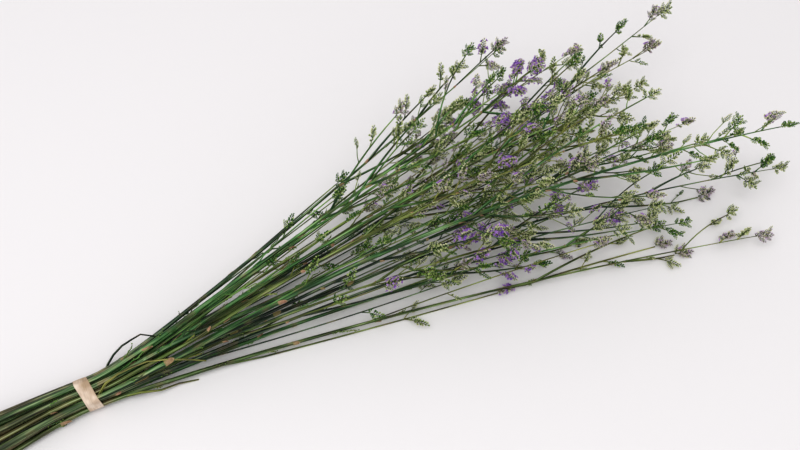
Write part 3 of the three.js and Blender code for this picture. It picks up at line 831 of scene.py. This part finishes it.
def rod_shape(sides, steps):
    """A straight rod of radius 1 with `steps` bands along its length, made once for each kind."""
    if (sides, steps) not in rod_shapes:
        bm = bmesh.new()
        bmesh.ops.create_cone(bm, cap_ends=True, segments=sides, radius1=1, radius2=1, depth=steps)
        lengthwise = [e for e in bm.edges if abs(e.verts[0].co.z - e.verts[1].co.z) > 0.5]
        if steps > 1:
            bmesh.ops.subdivide_edges(bm, edges=lengthwise, cuts=steps - 1, use_grid_fill=True)
        bmesh.ops.translate(bm, verts=bm.verts, vec=(0, 0, steps / 2))
        for face in bm.faces:
            face.smooth = abs(face.normal.z) < 0.5
        rod_shapes[sides, steps] = as_mesh(bm, "rod")
    return rod_shapes[sides, steps]


def empty_mesh(*layers):
    """An empty bmesh whose points hold a number for each layer."""
    bm = bmesh.new()
    for layer in layers:
        bm.verts.layers.float.new(layer)
    return bm


def add_copy(bm, mesh):
    """Adds a mesh to a bmesh, and gives the vertices that it brings."""
    first = len(bm.verts)
    bm.from_mesh(mesh)
    bm.verts.ensure_lookup_table()
    return bm.verts[first:]


def add_rod(bm, points, radii, sides, young, rib=0, dryness=0):
    """A rod bent along a row of points. young: how young it is at its two ends, or at each point.
    Its points keep where they lie in the fibres, how young and how dry they are."""
    last = len(points) - 1
    ages = young if len(young) > 2 else evenly(*young, last + 1)
    grain, age = bm.verts.layers.float_vector["grain"], bm.verts.layers.float["young"]
    dried = bm.verts.layers.float["dried"]
    reference = across(unit(sub(points[-1], points[0])))[0]
    rings, travelled = [], FIBRE_LENGTH * random()
    for k, p in enumerate(points):
        u = unit(sub(points[min(k + 1, last)], points[max(k - 1, 0)]))
        up = unit(cross(u, reference))
        step = sub(p, points[max(k - 1, 0)])
        travelled += math.sqrt(dot(step, step))
        rings.append((p, cross(up, u), up, travelled))
    for vert in add_copy(bm, rod_shape(sides, last)):
        k = round(vert.co.z)
        a, b = vert.co.x, vert.co.y
        p, side, up, at = rings[k]
        corner = round(math.atan2(b, a) / (2 * math.pi) * sides)
        r = radii[k] * (1 + (rib if corner % 2 else -rib))
        vert[grain] = (a * radii[k], b * radii[k], at)
        vert[age] = ages[k]
        vert[dried] = dryness * min(1, max(0, (DRIED_FROM - p[0]) / DRIED_REACH))
        spot = add(p, add(times(side, a * r), times(up, b * r)))
        vert.co = to_frame @ Vector(on_table(spot, 0))


class Skin:
    """The nodes of a finish. What is fed to one is a socket, or a plain number or colour."""

    def __init__(self, tree):
        self.nodes, self.links = tree.nodes, tree.links

    def feed(self, socket, value):
        if isinstance(value, bpy.types.NodeSocket):
            self.links.new(value, socket)
        else:
            socket.default_value = value

    def node(self, kind, out, **inputs):
        """A new node, fed by the names of its inputs: what it puts out."""
        node = self.nodes.new("ShaderNode" + kind)
        for name, value in inputs.items():
            self.feed(node.inputs[name.replace("_", " ")], value)
        return node.outputs[out]

    def layer(self, name, out="Fac"):
        """What the points of the mesh hold under a name."""
        node = self.nodes.new("ShaderNodeAttribute")
        node.attribute_name = name
        return node.outputs[out]

    def ramp(self, place_on, stops):
        """The colour at a place on a ramp through its stops, each (place, (red, green, blue))."""
        node = self.nodes.new("ShaderNodeValToRGB")
        colours = node.color_ramp.elements
        colours[0].position, colours[1].position = stops[0][0], stops[-1][0]
        for stop, _ in stops[1:-1]:
            colours.new(stop)
        for element, (_, colour) in zip(colours, stops):
            element.color = (*colour, 1)
        self.feed(node.inputs["Fac"], place_on)
        return node.outputs["Color"]

    def mixed(self, blend, share, first, second):
        """A mix of two colours."""
        node = self.nodes.new("ShaderNodeMix")
        node.data_type, node.blend_type = "RGBA", blend
        for index, value in ((0, share), (6, first), (7, second)):
            self.feed(node.inputs[index], value)
        return node.outputs[2]

    def total(self, first, second):
        node = self.nodes.new("ShaderNodeMath")
        node.operation = "ADD"
        self.feed(node.inputs[0], first)
        self.feed(node.inputs[1], second)
        return node.outputs[0]

    def ranged(self, value, span, source=(0, 1)):
        """Takes a value from the ends of `source` to the ends of `span`."""
        return self.node("MapRange", "Result", Value=value, From_Min=source[0], From_Max=source[1],
                         To_Min=span[0], To_Max=span[1])

    def noise(self, scale, vector, detail=2):
        return self.node("TexNoise", "Fac", Scale=scale, Vector=vector, Detail=detail)


class Finish(Skin):
    """A material under way, with its one shader."""

    def __init__(self, name):
        self.material = bpy.data.materials.new(name)
        self.material.use_nodes = True
        super().__init__(self.material.node_tree)
        self.shader = self.nodes["Principled BSDF"]

    def position(self):
        return self.nodes.new("ShaderNodeTexCoord").outputs["Object"]

    def end(self, colour, grain, roughness, strength, depth):
        """Gives the shader its colour, and a skin that is rough and raised with the grain."""
        self.feed(self.shader.inputs["Base Color"], colour)
        self.feed(self.shader.inputs["Roughness"], self.ranged(grain, roughness))
        raised = self.node("Bump", "Normal", Height=grain, Strength=strength, Distance=depth)
        self.feed(self.shader.inputs["Normal"], raised)
        return self.material


fibres = bpy.data.node_groups.new("fibres", "ShaderNodeTree")
fibres.interface.new_socket("Grain", in_out="INPUT", socket_type="NodeSocketVector")
fibres.interface.new_socket("Fineness", in_out="INPUT", socket_type="NodeSocketFloat")
fibres.interface.new_socket("Streak", in_out="OUTPUT", socket_type="NodeSocketFloat")
fibres.interface.new_socket("Patch", in_out="OUTPUT", socket_type="NodeSocketFloat")
fibre_skin = Skin(fibres)
inside = fibres.nodes.new("NodeGroupInput").outputs
outside = fibres.nodes.new("NodeGroupOutput").inputs
drawn_out = fibre_skin.node("Mapping", "Vector", Vector=inside["Grain"], Scale=FIBRE_STRETCH)
fibre_skin.feed(outside["Streak"], fibre_skin.noise(inside["Fineness"], drawn_out, FIBRE_DETAIL))
fibre_skin.feed(outside["Patch"], fibre_skin.noise(PATCH_SCALE, inside["Grain"], PATCH_DETAIL))


def plant_finish(name, stops):
    """Green skin: the ramp follows the shoot's age, with dried brown patches, and pale streaks that are
    partly wax and partly painted highlight.
    """
    finish = Finish(name)
    skin = finish.nodes.new("ShaderNodeGroup")
    skin.node_tree = fibres
    finish.feed(skin.inputs["Fineness"], FIBRE_FINENESS)
    finish.feed(skin.inputs["Grain"], finish.layer("grain", "Vector"))
    streak, patch = skin.outputs["Streak"], skin.outputs["Patch"]
    age = finish.total(finish.layer("young"), finish.ranged(patch, UNEVEN_AGE))
    dry = finish.total(finish.ranged(patch, DRYING, DRYING_AT), finish.layer("dried"))
    mottled = finish.mixed("MIX", dry, finish.ramp(age, stops), DRIED)
    # Darker and paler streaks along the fibres: partly the skin's own streaks, partly painted shade and
    # light of its fine ribs.
    streaked = finish.mixed("MULTIPLY", 1.0, mottled, finish.ranged(streak, SHADING, SHADING_AT))
    # Pale streaks, partly wax and partly painted highlight.
    wax_and_highlight = finish.mixed("MIX", finish.ranged(streak, WAX_AND_HIGHLIGHT_SHARE, WAX_AND_HIGHLIGHT_AT), streaked, WAX_AND_HIGHLIGHT)
    cut = finish.mixed("MIX", finish.layer("pith"), wax_and_highlight, PITH)
    return finish.end(cut, streak, FIBRE_ROUGHNESS, FIBRE_BUMP, FIBRE_DEPTH)


def finish_piece(bm, name, material, slot, *nodes):
    """Makes the object of a piece, gives it its finish, attaches it to the root body and hides the
    frame's parts that it stands for.
    """
    mesh = as_mesh(bm, name)
    mesh.materials.append(material)
    piece = bpy.data.objects.new(name, mesh)
    bpy.context.scene.collection.objects.link(piece)
    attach(piece, "root")
    if nodes:
        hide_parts(*nodes)
    return piece


NODE_FIRST, NODE_LEAST, NODE_MOST, NODE_LAST, NODE_APART = -40, 60, 150, 0.8, 16
NODE_HALF, NODE_SWELL, NODE_AGE, TIP_TAPER, SLIM, SLIM_BY = 1.8, 1.13, 0.12, 0.55, 0.22, 220
NODE_BELOW, NODE_KEPT = 2, 0.4  # where a branch's node lies, and the share of low branches with one

# The nodes of each stalk: where along x, and to which side of the stalk its scale lies.
nodes_of = []
for owner, (stem, route) in enumerate(zip(STEMS, routes)):
    found = []
    for branch in branches[owner]:
        side, up = across(branch.follow)
        azimuth = math.atan2(dot(branch.way, up), dot(branch.way, side))
        if branch.root[0] > stem.tip[0] * stem.start or random() < NODE_KEPT:
            found.append((branch.root[0] - NODE_BELOW, azimuth))
    x = NODE_FIRST + (NODE_MOST - NODE_LEAST) * random()
    while x < stem.tip[0] * NODE_LAST:
        if abs(x) > NODE_APART and all(abs(x - other) > NODE_APART for other, _ in found):
            found.append((x, ROUND * random()))
        x += mix(NODE_LEAST, NODE_MOST, random())
    found.sort()
    nodes_of.append([a for k, a in enumerate(found) if not k or a[0] - found[k - 1][0] > NODE_APART])


def stalk_radius(stem, x):
    """The solid's radius, drawn slimmer past the band, except on the leading stem, and at the tip."""
    slim = 0 if stem is STEMS[0] else SLIM * min(1, max(0, x / SLIM_BY))
    return radius_at(stem, x) * (1 - slim) * (1 - TIP_TAPER * max(0, x / stem.tip[0]) ** 4)


green_finishes = {name: plant_finish(name, stops) for name, stops in GREENS.items()}

for owner, (stem, route) in enumerate(zip(STEMS, routes)):
    bm = empty_mesh("young", "dried", "pith")
    bm.verts.layers.float_vector.new("grain")
    count = round((stem.tip[0] + stem.tail) / STALK_STATION)
    swollen = [x for x, _ in nodes_of[owner]]
    places = evenly(-stem.tail, stem.tip[0], count + 1)
    places = [x for x in places if all(abs(x - node) > 2 * NODE_HALF for node in swollen)]
    places = sorted(places + [x + d for x in swollen for d in (-NODE_HALF, 0, NODE_HALF)])
    radii = [stalk_radius(stem, x) * (NODE_SWELL if x in swollen else 1) for x in places]
    own_age = STEM_SHADES * (random() - STALK_AGE)
    youngest = LEAD_YOUNGEST if stem is STEMS[0] else YOUNGEST
    ages = [own_age + youngest * max(0, x / stem.tip[0]) + NODE_AGE * (x in swollen) for x in places]
    dryness = mix(LEAST_DRIED, MOST_DRIED, random())
    add_rod(bm, [route_point(route, x) for x in places], radii, STALK_SIDES, ages, RIB, dryness)
    cut = min(bm.faces, key=lambda face: face.calc_center_median().x)
    bmesh.ops.inset_region(bm, faces=[cut], thickness=stem.radius * (1 - PITH_SHARE) * MM)
    pith = bm.verts.layers.float["pith"]
    for vert in cut.verts:
        vert[pith] = 1
    for shoot in shoots[owner]:
        count = len(shoot.points)
        own_age = STEM_SHADES * (random() - 0.5)
        sides, span = (SHOOT_SIDES, SHOOT_AGES) if count > SHOOT_STEPS else (TWIG_SIDES, TWIG_AGES)
        ages = [age + own_age for age in span]
        add_rod(bm, shoot.points, evenly(shoot.base, shoot.end, count), sides, ages)
    for stray_owner, ages, spots in STRAYS:
        if stray_owner == owner:
            radii = evenly(STRAY_BASE, STRAY_END, len(spots))
            add_rod(bm, stray_points(spots), radii, SHOOT_SIDES, ages)
    for cluster, found in zip(clusters[owner], heads_spikes[owner]):
        for n, spike in enumerate(found):
            foot = spike.base if n else cluster.head.neck
            end = add(spike.base, times(spike.way, AXIS_SHARE * spike.length))
            add_rod(bm, [foot, end], AXIS_RADII, AXIS_SIDES, AXIS_AGES)
    node = f"stem_{owner + 1:02d}"
    finish_piece(bm, node + "_green", green_finishes[stem.green], stem.green, node)

# --- The bracts ----------------------------------------------------------------------------------
# At its nodes a stalk carries a dry reddish-brown scale, wrapped round it at the foot and pointed
# at its tip. Branches leave the stalk from behind such a scale.

BRACT_LENGTH, BRACT_RADIUS, BRACT_SPREAD = 7.6, 2, 3  # so long on a stalk of that radius
BRACT_THICKNESS, BRACT_SEAT, BRACT_LIFT = 0.25, 0.1, 0.7
BRACT_WRAP = math.radians(68)
BRACT_LAYERS = ("along", "edge", "fresh")
BRACT_COLUMNS, BRACT_ROWS, BRACT_TIP, BRACT_SIGHT = 4, 5, 0.06, 2
BRACT_BROWNS = [(0.0, (0.28, 0.23, 0.12)), (0.35, (0.4, 0.25, 0.17)), (0.8, (0.28, 0.15, 0.1)),
                (1.0, (0.5, 0.38, 0.26))]
BRACT_GREEN, BRACT_RIM = (0.2, 0.2, 0.07, 1), (0.4, 0.28, 0.16, 1)
GREENING, GREENING_AT, RIM_PALENESS = (0, 0.8), (0.45, 1), (-0.4, 0.55)
SPECKLE, SPECKLE_SHADES, BRACT_ROUGHNESS = 700, (0.45, 1.6), (0.55, 0.8)
BRACT_BUMP, BRACT_DEPTH = 0.4, 0.0003

bm = bmesh.new()
bmesh.ops.create_grid(bm, x_segments=BRACT_COLUMNS, y_segments=BRACT_ROWS, size=1)
bmesh.ops.solidify(bm, geom=bm.faces[:], thickness=1)
lowest = min(vert.co.z for vert in bm.verts)
bmesh.ops.translate(bm, verts=bm.verts, vec=(0, 0, -lowest))
bract_shape = as_mesh(bm, "bract")


def add_bract(bm, x, azimuth, owner):
    """A scale on a stalk at x: a small flat sheet, narrowed to its tip and wrapped on the stalk."""
    stem, route = STEMS[owner], routes[owner]
    length = BRACT_LENGTH * stalk_radius(stem, x) / BRACT_RADIUS + BRACT_SPREAD * (random() - 0.5)
    freshness = random()
    added = add_copy(bm, bract_shape)
    along, edge, fresh = (bm.verts.layers.float[name] for name in BRACT_LAYERS)
    for vert in added:
        u, v, w = vert.co.x, (vert.co.y + 1) / 2, vert.co.z
        vert[along], vert[edge], vert[fresh] = v, abs(u), freshness
        at = x + length * v
        middle = route_point(route, at)
        side, up = across(unit(sub(route_point(route, at + BRACT_SIGHT), middle)))
        angle = azimuth + u * BRACT_WRAP * (BRACT_TIP + (1 - BRACT_TIP) * math.sqrt(1 - v))
        reach = stalk_radius(stem, at) + BRACT_SEAT + BRACT_THICKNESS * w + BRACT_LIFT * v * v
        out = add(times(side, math.cos(angle) * reach), times(up, math.sin(angle) * reach))
        vert.co = to_frame @ Vector(on_table(add(middle, out), 0))


finish = Finish("bract")
speckle = finish.noise(SPECKLE, finish.position())
browning = finish.ramp(finish.layer("along"), BRACT_BROWNS)
still_green = finish.ranged(finish.layer("fresh"), GREENING, GREENING_AT)
ageing = finish.mixed("MIX", still_green, browning, BRACT_GREEN)
rimmed = finish.mixed("MIX", finish.ranged(finish.layer("edge"), RIM_PALENESS), ageing, BRACT_RIM)
speckled = finish.mixed("MULTIPLY", 1.0, rimmed, finish.ranged(speckle, SPECKLE_SHADES))
bract_finish = finish.end(speckled, speckle, BRACT_ROUGHNESS, BRACT_BUMP, BRACT_DEPTH)

for owner, route in enumerate(routes):
    bm = empty_mesh(*BRACT_LAYERS)
    for x, way in nodes_of[owner]:
        add_bract(bm, x, way, owner)
    finish_piece(bm, f"stem_{owner + 1:02d}_bracts", bract_finish, "bract")

# --- The rubber band -----------------------------------------------------------------------------
# One flat beige rubber band, stretched once round the stalks. It is thickest along its middle, its
# rims are rounded and wander a little, and fine lines run round it where the rubber is stretched.

BAND_CORNERS, BAND_STRIPS, BAND_ROUNDING, BAND_SLANT = 96, 8, 0.28, 0.2
BAND_CROWN, CROWN_EVEN, CROWN_WAVES = 0.22, 0.6, 5  # the crown's height, its even share and its waves
RIM_WAVES = [(0.22, 3, 1), (0.12, 7, 2)]  # height, how many round the band, how they shift
RIM_SHIFTS, NEAR = (1, 4), 0.01
RUBBER = [(0.35, (0.42, 0.31, 0.21)), (0.5, (0.55, 0.43, 0.33)), (0.65, (0.71, 0.6, 0.5))]
RUBBER_STRETCH, RUBBER_LINES, RUBBER_CLOUDS, LINE_SHADES = (1, 0.07, 0.07), 1500, 90, (0.72, 1.2)
RUBBER_ROUGHNESS, RUBBER_BUMP, RUBBER_DEPTH = (0.6, 0.42), 0.5, 0.0002


def rim_wander(k, shift):
    """How far a rim of the band strays from its straight line at corner k."""
    angle = 2 * math.pi * k / BAND_CORNERS
    return sum(height * math.sin(count * angle + turn * shift) for height, count, turn in RIM_WAVES)


bm = bmesh.new()
bmesh.ops.create_circle(bm, segments=BAND_CORNERS, radius=1)
bm.verts.ensure_lookup_table()
inner_face = band_outline(BAND_GAP, BAND_CORNERS)
for vert, (y, z) in zip(bm.verts, inner_face):
    vert.co = (-BAND_WIDTH / 2, y, z)
rim = bm.edges[:]
for _ in range(BAND_STRIPS):
    made = bmesh.ops.extrude_edge_only(bm, edges=rim)["geom"]
    moved = [part for part in made if isinstance(part, bmesh.types.BMVert)]
    bmesh.ops.translate(bm, verts=moved, vec=(BAND_WIDTH / BAND_STRIPS, 0, 0))
    rim = [part for part in made if isinstance(part, bmesh.types.BMEdge)]
bmesh.ops.recalc_face_normals(bm, faces=bm.faces)
bmesh.ops.solidify(bm, geom=bm.faces[:], thickness=BAND_THICKNESS)
rims = [e for e in bm.edges if len({round(v.co.x, 3) for v in e.verts}) == 1
        and abs(abs(e.verts[0].co.x) - BAND_WIDTH / 2) < NEAR
        and any(abs(f.normal.x) > 0.5 for f in e.link_faces)
        and any(abs(f.normal.x) < 0.5 for f in e.link_faces)]
bmesh.ops.bevel(bm, geom=rims, offset=BAND_ROUNDING, offset_type="OFFSET", segments=3, profile=0.5,
                affect="EDGES", material=-1)
for face in bm.faces:
    face.smooth = True
for vert in bm.verts:
    x, y, z = vert.co
    angle = math.atan2(z - NECK_MIDDLE, y)
    middle = 1 - (2 * x / BAND_WIDTH) ** 2
    crown = BAND_CROWN * middle * (CROWN_EVEN + (1 - CROWN_EVEN) * math.sin(CROWN_WAVES * angle))
    k = angle / (2 * math.pi) * BAND_CORNERS
    wander = [rim_wander(k, shift) for shift in RIM_SHIFTS]
    x += mix(*wander, x / BAND_WIDTH + 0.5) - BAND_SLANT * y
    grown = (x, y + crown * math.cos(angle), max(0, z + crown * math.sin(angle)))
    vert.co = to_frame @ Vector(grown)

finish = Finish("rubber_band")
position = finish.position()
round_it = finish.node("Mapping", "Vector", Vector=position, Scale=RUBBER_STRETCH)
lines = finish.noise(RUBBER_LINES, round_it)
rubber = finish.ramp(finish.noise(RUBBER_CLOUDS, position), RUBBER)
lined = finish.mixed("MULTIPLY", 1.0, rubber, finish.ranged(lines, LINE_SHADES))
band_finish = finish.end(lined, lines, RUBBER_ROUGHNESS, RUBBER_BUMP, RUBBER_DEPTH)
finish_piece(bm, "band", band_finish, "rubber_band", "rubber_band")

# --- The florets ---------------------------------------------------------------------------------
# A spike carries two rows of florets on its upper side. Each floret is a papery funnel, the calyx,
# green at its foot and cream at its rim, and in some of them a small violet corolla has opened.
# The calyx's foot and the middle of each hollow are painted near black, as shade between florets.

# The middle of a hollow takes a low place on the ramp from foot to rim, so it is painted dark as shade
# in the hollow.
FUNNEL_SIDES, LOBE_RISE, SHADED_HOLLOW_ALONG, DOME_ALONG = 10, 0.12, 0.3, 0.8
CALYX_LENGTH, CALYX_TIP, CALYX_NOTCH, CALYX_HOLLOW = 2.7, 0.9, 0.5, 1.2
BUD_LENGTH, BUD_TIP, BUD_NOTCH, BUD_DOME = 2.3, 0.78, 0.6, 0.6
COROLLA_LENGTH, COROLLA_TIP, COROLLA_NOTCH, COROLLA_HOLLOW = 1.9, 1.55, 0.7, 0.6
COROLLA_SEAT = 0.7  # share of the calyx's length at which the corolla sits
COROLLA_LEAST, COROLLA_SPREAD = 0.8, 0.4
SPIKE_LENGTH, SPIKE_PAIRS, SPIKE_FILLED = 9.5, 5, 0.84
ROW_AZIMUTH, ROW_SPREAD, ROW_TILT, TIP_TILT, TILT_SPREAD, END_TILT = 62, 60, 62, 40, 12, 0.1
TIP_SIZE, LEAST_SIZE, SIZE_SPREAD, TINT_SPREAD = 0.66, 0.9, 0.2, 0.5
UPWARD, OUTWARD = 0.8, 0.6  # how far a spike's florets turn up and out from its head
TOO_SHORT = 0.01  # a direction that is no clearer than this isn't followed
# How each kind of spike looks: its share of open florets and the tint of its calyces.
SPIKES = {"bud": (0.0, 0.08), "cream": (0.0, 0.45), "lilac": (0.05, 0.8), "bloom": (0.72, 0.6)}
VARIANTS, FIRST_SEED, SEED_STEP = 3, 11, 7
DRY_BUD_LEAST, DRY_BUD_MOST, DRY_BUD_TINT = 0.35, 0.7, 0.16
BLOTCH, BLOTCH_SHADES, BLOTCH_BUMP, BLOTCH_DEPTH, ROUGHNESS_SPREAD = 900, (0.6, 1.35), 0.3, 0.0002, 0.2


def star_funnel(length, tip, notch, hollow):
    """A funnel that comes to a point at its foot, with five lobes round a mouth that is hollow,
    or domed where hollow is negative."""
    bm = empty_mesh("along", "tint")
    bmesh.ops.create_cone(bm, cap_ends=True, segments=FUNNEL_SIDES, radius1=0, radius2=1, depth=length)
    bmesh.ops.translate(bm, verts=bm.verts, vec=(0, 0, length / 2))
    mouth = max(bm.faces, key=lambda face: len(face.verts))
    along = bm.verts.layers.float["along"]
    for k, vert in enumerate(mouth.verts):
        reach = notch if k % 2 else tip
        vert.co.x *= reach
        vert.co.y *= reach
        vert.co.z += 0.0 if k % 2 else LOBE_RISE * length
        vert[along] = 1
    middle = bmesh.ops.poke(bm, faces=[mouth], offset=-hollow)["verts"][0]
    # A hollow's middle is painted with the dark foot colour, as shade.
    middle[along] = SHADED_HOLLOW_ALONG if hollow > 0 else DOME_ALONG
    return as_mesh(bm, "funnel")


calyx = star_funnel(CALYX_LENGTH, CALYX_TIP, CALYX_NOTCH, CALYX_HOLLOW)
bud = star_funnel(BUD_LENGTH, BUD_TIP, BUD_NOTCH, -BUD_DOME)
corolla = star_funnel(COROLLA_LENGTH, COROLLA_TIP, COROLLA_NOTCH, COROLLA_HOLLOW)


def add_shape(bm, shape, matrix, tint=None):
    """A copy of a shape, moved by a matrix, and tinted."""
    copy = shape.copy()
    copy.transform(matrix)
    if tint is not None:
        copy.attributes["tint"].data.foreach_set("value", [tint] * len(copy.vertices))
    bm.from_mesh(copy)
    bpy.data.meshes.remove(copy)


def make_spike(kind, seed):
    """A spike along +Z with its florets towards +X: the mesh of its calyces and of its petals."""
    draw = numbers(seed)
    share_open, tint = SPIKES[kind]
    calyces, petals = empty_mesh("along", "tint"), empty_mesh("along", "tint")
    last = 2 * SPIKE_PAIRS
    for n in range(last + 1):
        share = n / last
        side = 0 if n == last else 1 - 2 * (n % 2)
        azimuth = math.radians(side * (ROW_AZIMUTH + ROW_SPREAD * (draw() - 0.5)))
        tilt = END_TILT
        if side:
            tilt = math.radians(mix(ROW_TILT, TIP_TILT, share) + TILT_SPREAD * (draw() - 0.5))
        size = mix(1, TIP_SIZE, share * share) * (LEAST_SIZE + SIZE_SPREAD * draw())
        matrix = Matrix.Translation((0, 0, SPIKE_LENGTH * SPIKE_FILLED * share))
        matrix @= Matrix.Rotation(azimuth, 4, "Z") @ Matrix.Rotation(tilt, 4, "Y")
        matrix @= Matrix.Scale(size, 4) @ Matrix.Rotation(ROUND * draw(), 4, "Z")
        add_shape(calyces, bud if kind == "bud" else calyx, matrix, tint + TINT_SPREAD * (draw() - 0.5))
        if draw() < share_open and n < last:
            matrix @= Matrix.Translation((0, 0, CALYX_LENGTH * COROLLA_SEAT))
            matrix @= Matrix.Scale(COROLLA_LEAST + COROLLA_SPREAD * draw(), 4)
            add_shape(petals, corolla, matrix, draw())
    return as_mesh(calyces, "calyces"), as_mesh(petals, "petals")


spikes = {
    kind: [make_spike(kind, FIRST_SEED + SEED_STEP * v) for v in range(VARIANTS)] for kind in SPIKES
}


def spike_matrix(base, way, outward, length):
    """Stands a spike on its base along `way`, with its florets up and outwards."""
    upper = add((0, 0, UPWARD), times(outward, OUTWARD))
    dorsal = sub(upper, times(way, dot(upper, way)))
    dorsal = unit(dorsal if dot(dorsal, dorsal) > TOO_SHORT else across(way)[0])
    side = cross(way, dorsal)
    turn = Matrix((dorsal, side, way)).transposed().to_4x4()
    return to_frame @ Matrix.Translation(base) @ turn @ Matrix.Scale(length / SPIKE_LENGTH, 4)


def floret_finish(name, foot_and_shade_stops, rim_stops, foot_share, roughness):
    """Papery or silky skin: from the foot's colour, which covers that share of the floret, to the
    rim's, each by the floret's own tint. On the calyx the foot's colour is near black: painted shade
    between the florets."""
    finish = Finish(name)
    blotch = finish.noise(BLOTCH, finish.position())
    tint = finish.layer("tint")
    foot, rim = finish.ramp(tint, foot_and_shade_stops), finish.ramp(tint, rim_stops)
    papery = finish.ranged(finish.layer("along"), (0, 1), (foot_share, 1))
    skin = finish.mixed("MIX", papery, foot, rim)
    blotched = finish.mixed("MULTIPLY", 1.0, skin, finish.ranged(blotch, BLOTCH_SHADES))
    roughest = roughness + ROUGHNESS_SPREAD
    return finish.end(blotched, blotch, (roughness, roughest), BLOTCH_BUMP, BLOTCH_DEPTH)


calyx_finish = floret_finish(
    "calyx",
    # The calyx's foot: green going to near black, painted shade between the florets.
    [(0.0, (0.01, 0.035, 0.008)), (0.5, (0.028, 0.065, 0.012)), (1.0, (0.05, 0.06, 0.025))],
    [(0.0, (0.05, 0.17, 0.02)), (0.25, (0.33, 0.44, 0.13)), (0.5, (0.78, 0.83, 0.46)),
     (0.75, (0.85, 0.81, 0.6)), (1.0, (0.62, 0.49, 0.66))],
    foot_share=0.5, roughness=0.6,
)
petal_finish = floret_finish(
    "petal",
    [(0.0, (0.36, 0.2, 0.48)), (1.0, (0.12, 0.035, 0.28))],
    [(0.0, (0.58, 0.4, 0.72)), (0.5, (0.38, 0.21, 0.57)), (1.0, (0.22, 0.1, 0.45))],
    foot_share=0.2, roughness=0.45,
)

for owner, stem in enumerate(STEMS):
    calyces, petals = empty_mesh("along", "tint"), empty_mesh("along", "tint")
    for spike in (spike for found in heads_spikes[owner] for spike in found):
        matrix = spike_matrix(spike.base, spike.way, spike.outward, spike.length)
        calyx_mesh, petal_mesh = spikes[spike.kind][int(random() * VARIANTS)]
        add_shape(calyces, calyx_mesh, matrix)
        add_shape(petals, petal_mesh, matrix)
    for base, way in dry_buds[owner]:
        matrix = spike_matrix(base, way, way, SPIKE_LENGTH * mix(DRY_BUD_LEAST, DRY_BUD_MOST, random()))
        add_shape(calyces, bud, matrix, DRY_BUD_TINT)
    for vert in [*calyces.verts, *petals.verts]:
        vert.co.z = max(0, vert.co.z)
    finish_piece(calyces, f"stem_{owner + 1:02d}_calyces", calyx_finish, "calyx")
    finish_piece(petals, f"stem_{owner + 1:02d}_petals", petal_finish, "petal")

# --- The table and the light ---------------------------------------------------------------------
# A plain pale table under soft studio light: a bright sky all round and one wide soft lamp. The
# table lies a fifth of a millimetre below the bunch, so that no face lies in its top.

TABLE_SIZE, TABLE_DROP, TABLE_COLOUR, TABLE_ROUGHNESS = 6, 0.0002, (0.76, 0.745, 0.755, 1), 0.8
SKY_COLOUR, SKY_STRENGTH = (1.0, 0.99, 0.99, 1), 0.56
LAMP_SIZE, LAMP_POWER, LAMP_PLACE, LAMP_AIM = (1.8, 1.4), 13, (-0.4, -0.4, 1.7), Vector((0.05, 0, 0))

bpy.ops.mesh.primitive_plane_add(size=TABLE_SIZE, location=(0, 0, -TABLE_DROP))
table = bpy.context.object
table.name = "table"
finish = Finish("table")
finish.shader.inputs["Base Color"].default_value = TABLE_COLOUR
finish.shader.inputs["Roughness"].default_value = TABLE_ROUGHNESS
table.data.materials.append(finish.material)

world = bpy.data.worlds.new("studio")
bpy.context.scene.world = world
world.use_nodes = True
world.node_tree.nodes["Background"].inputs["Color"].default_value = SKY_COLOUR
world.node_tree.nodes["Background"].inputs["Strength"].default_value = SKY_STRENGTH

lamp = bpy.data.objects.new("soft_lamp", bpy.data.lights.new("soft_lamp", "AREA"))
lamp.data.shape = "RECTANGLE"
lamp.data.size, lamp.data.size_y = LAMP_SIZE
lamp.data.energy = LAMP_POWER
lamp.location = LAMP_PLACE
lamp.rotation_mode = "QUATERNION"
lamp.rotation_quaternion = (LAMP_AIM - lamp.location).to_track_quat("-Z", "Y")
bpy.context.scene.collection.objects.link(lamp)
bpy.context.scene.view_settings.view_transform = "Standard"
bpy.context.scene.view_settings.look = "High Contrast"
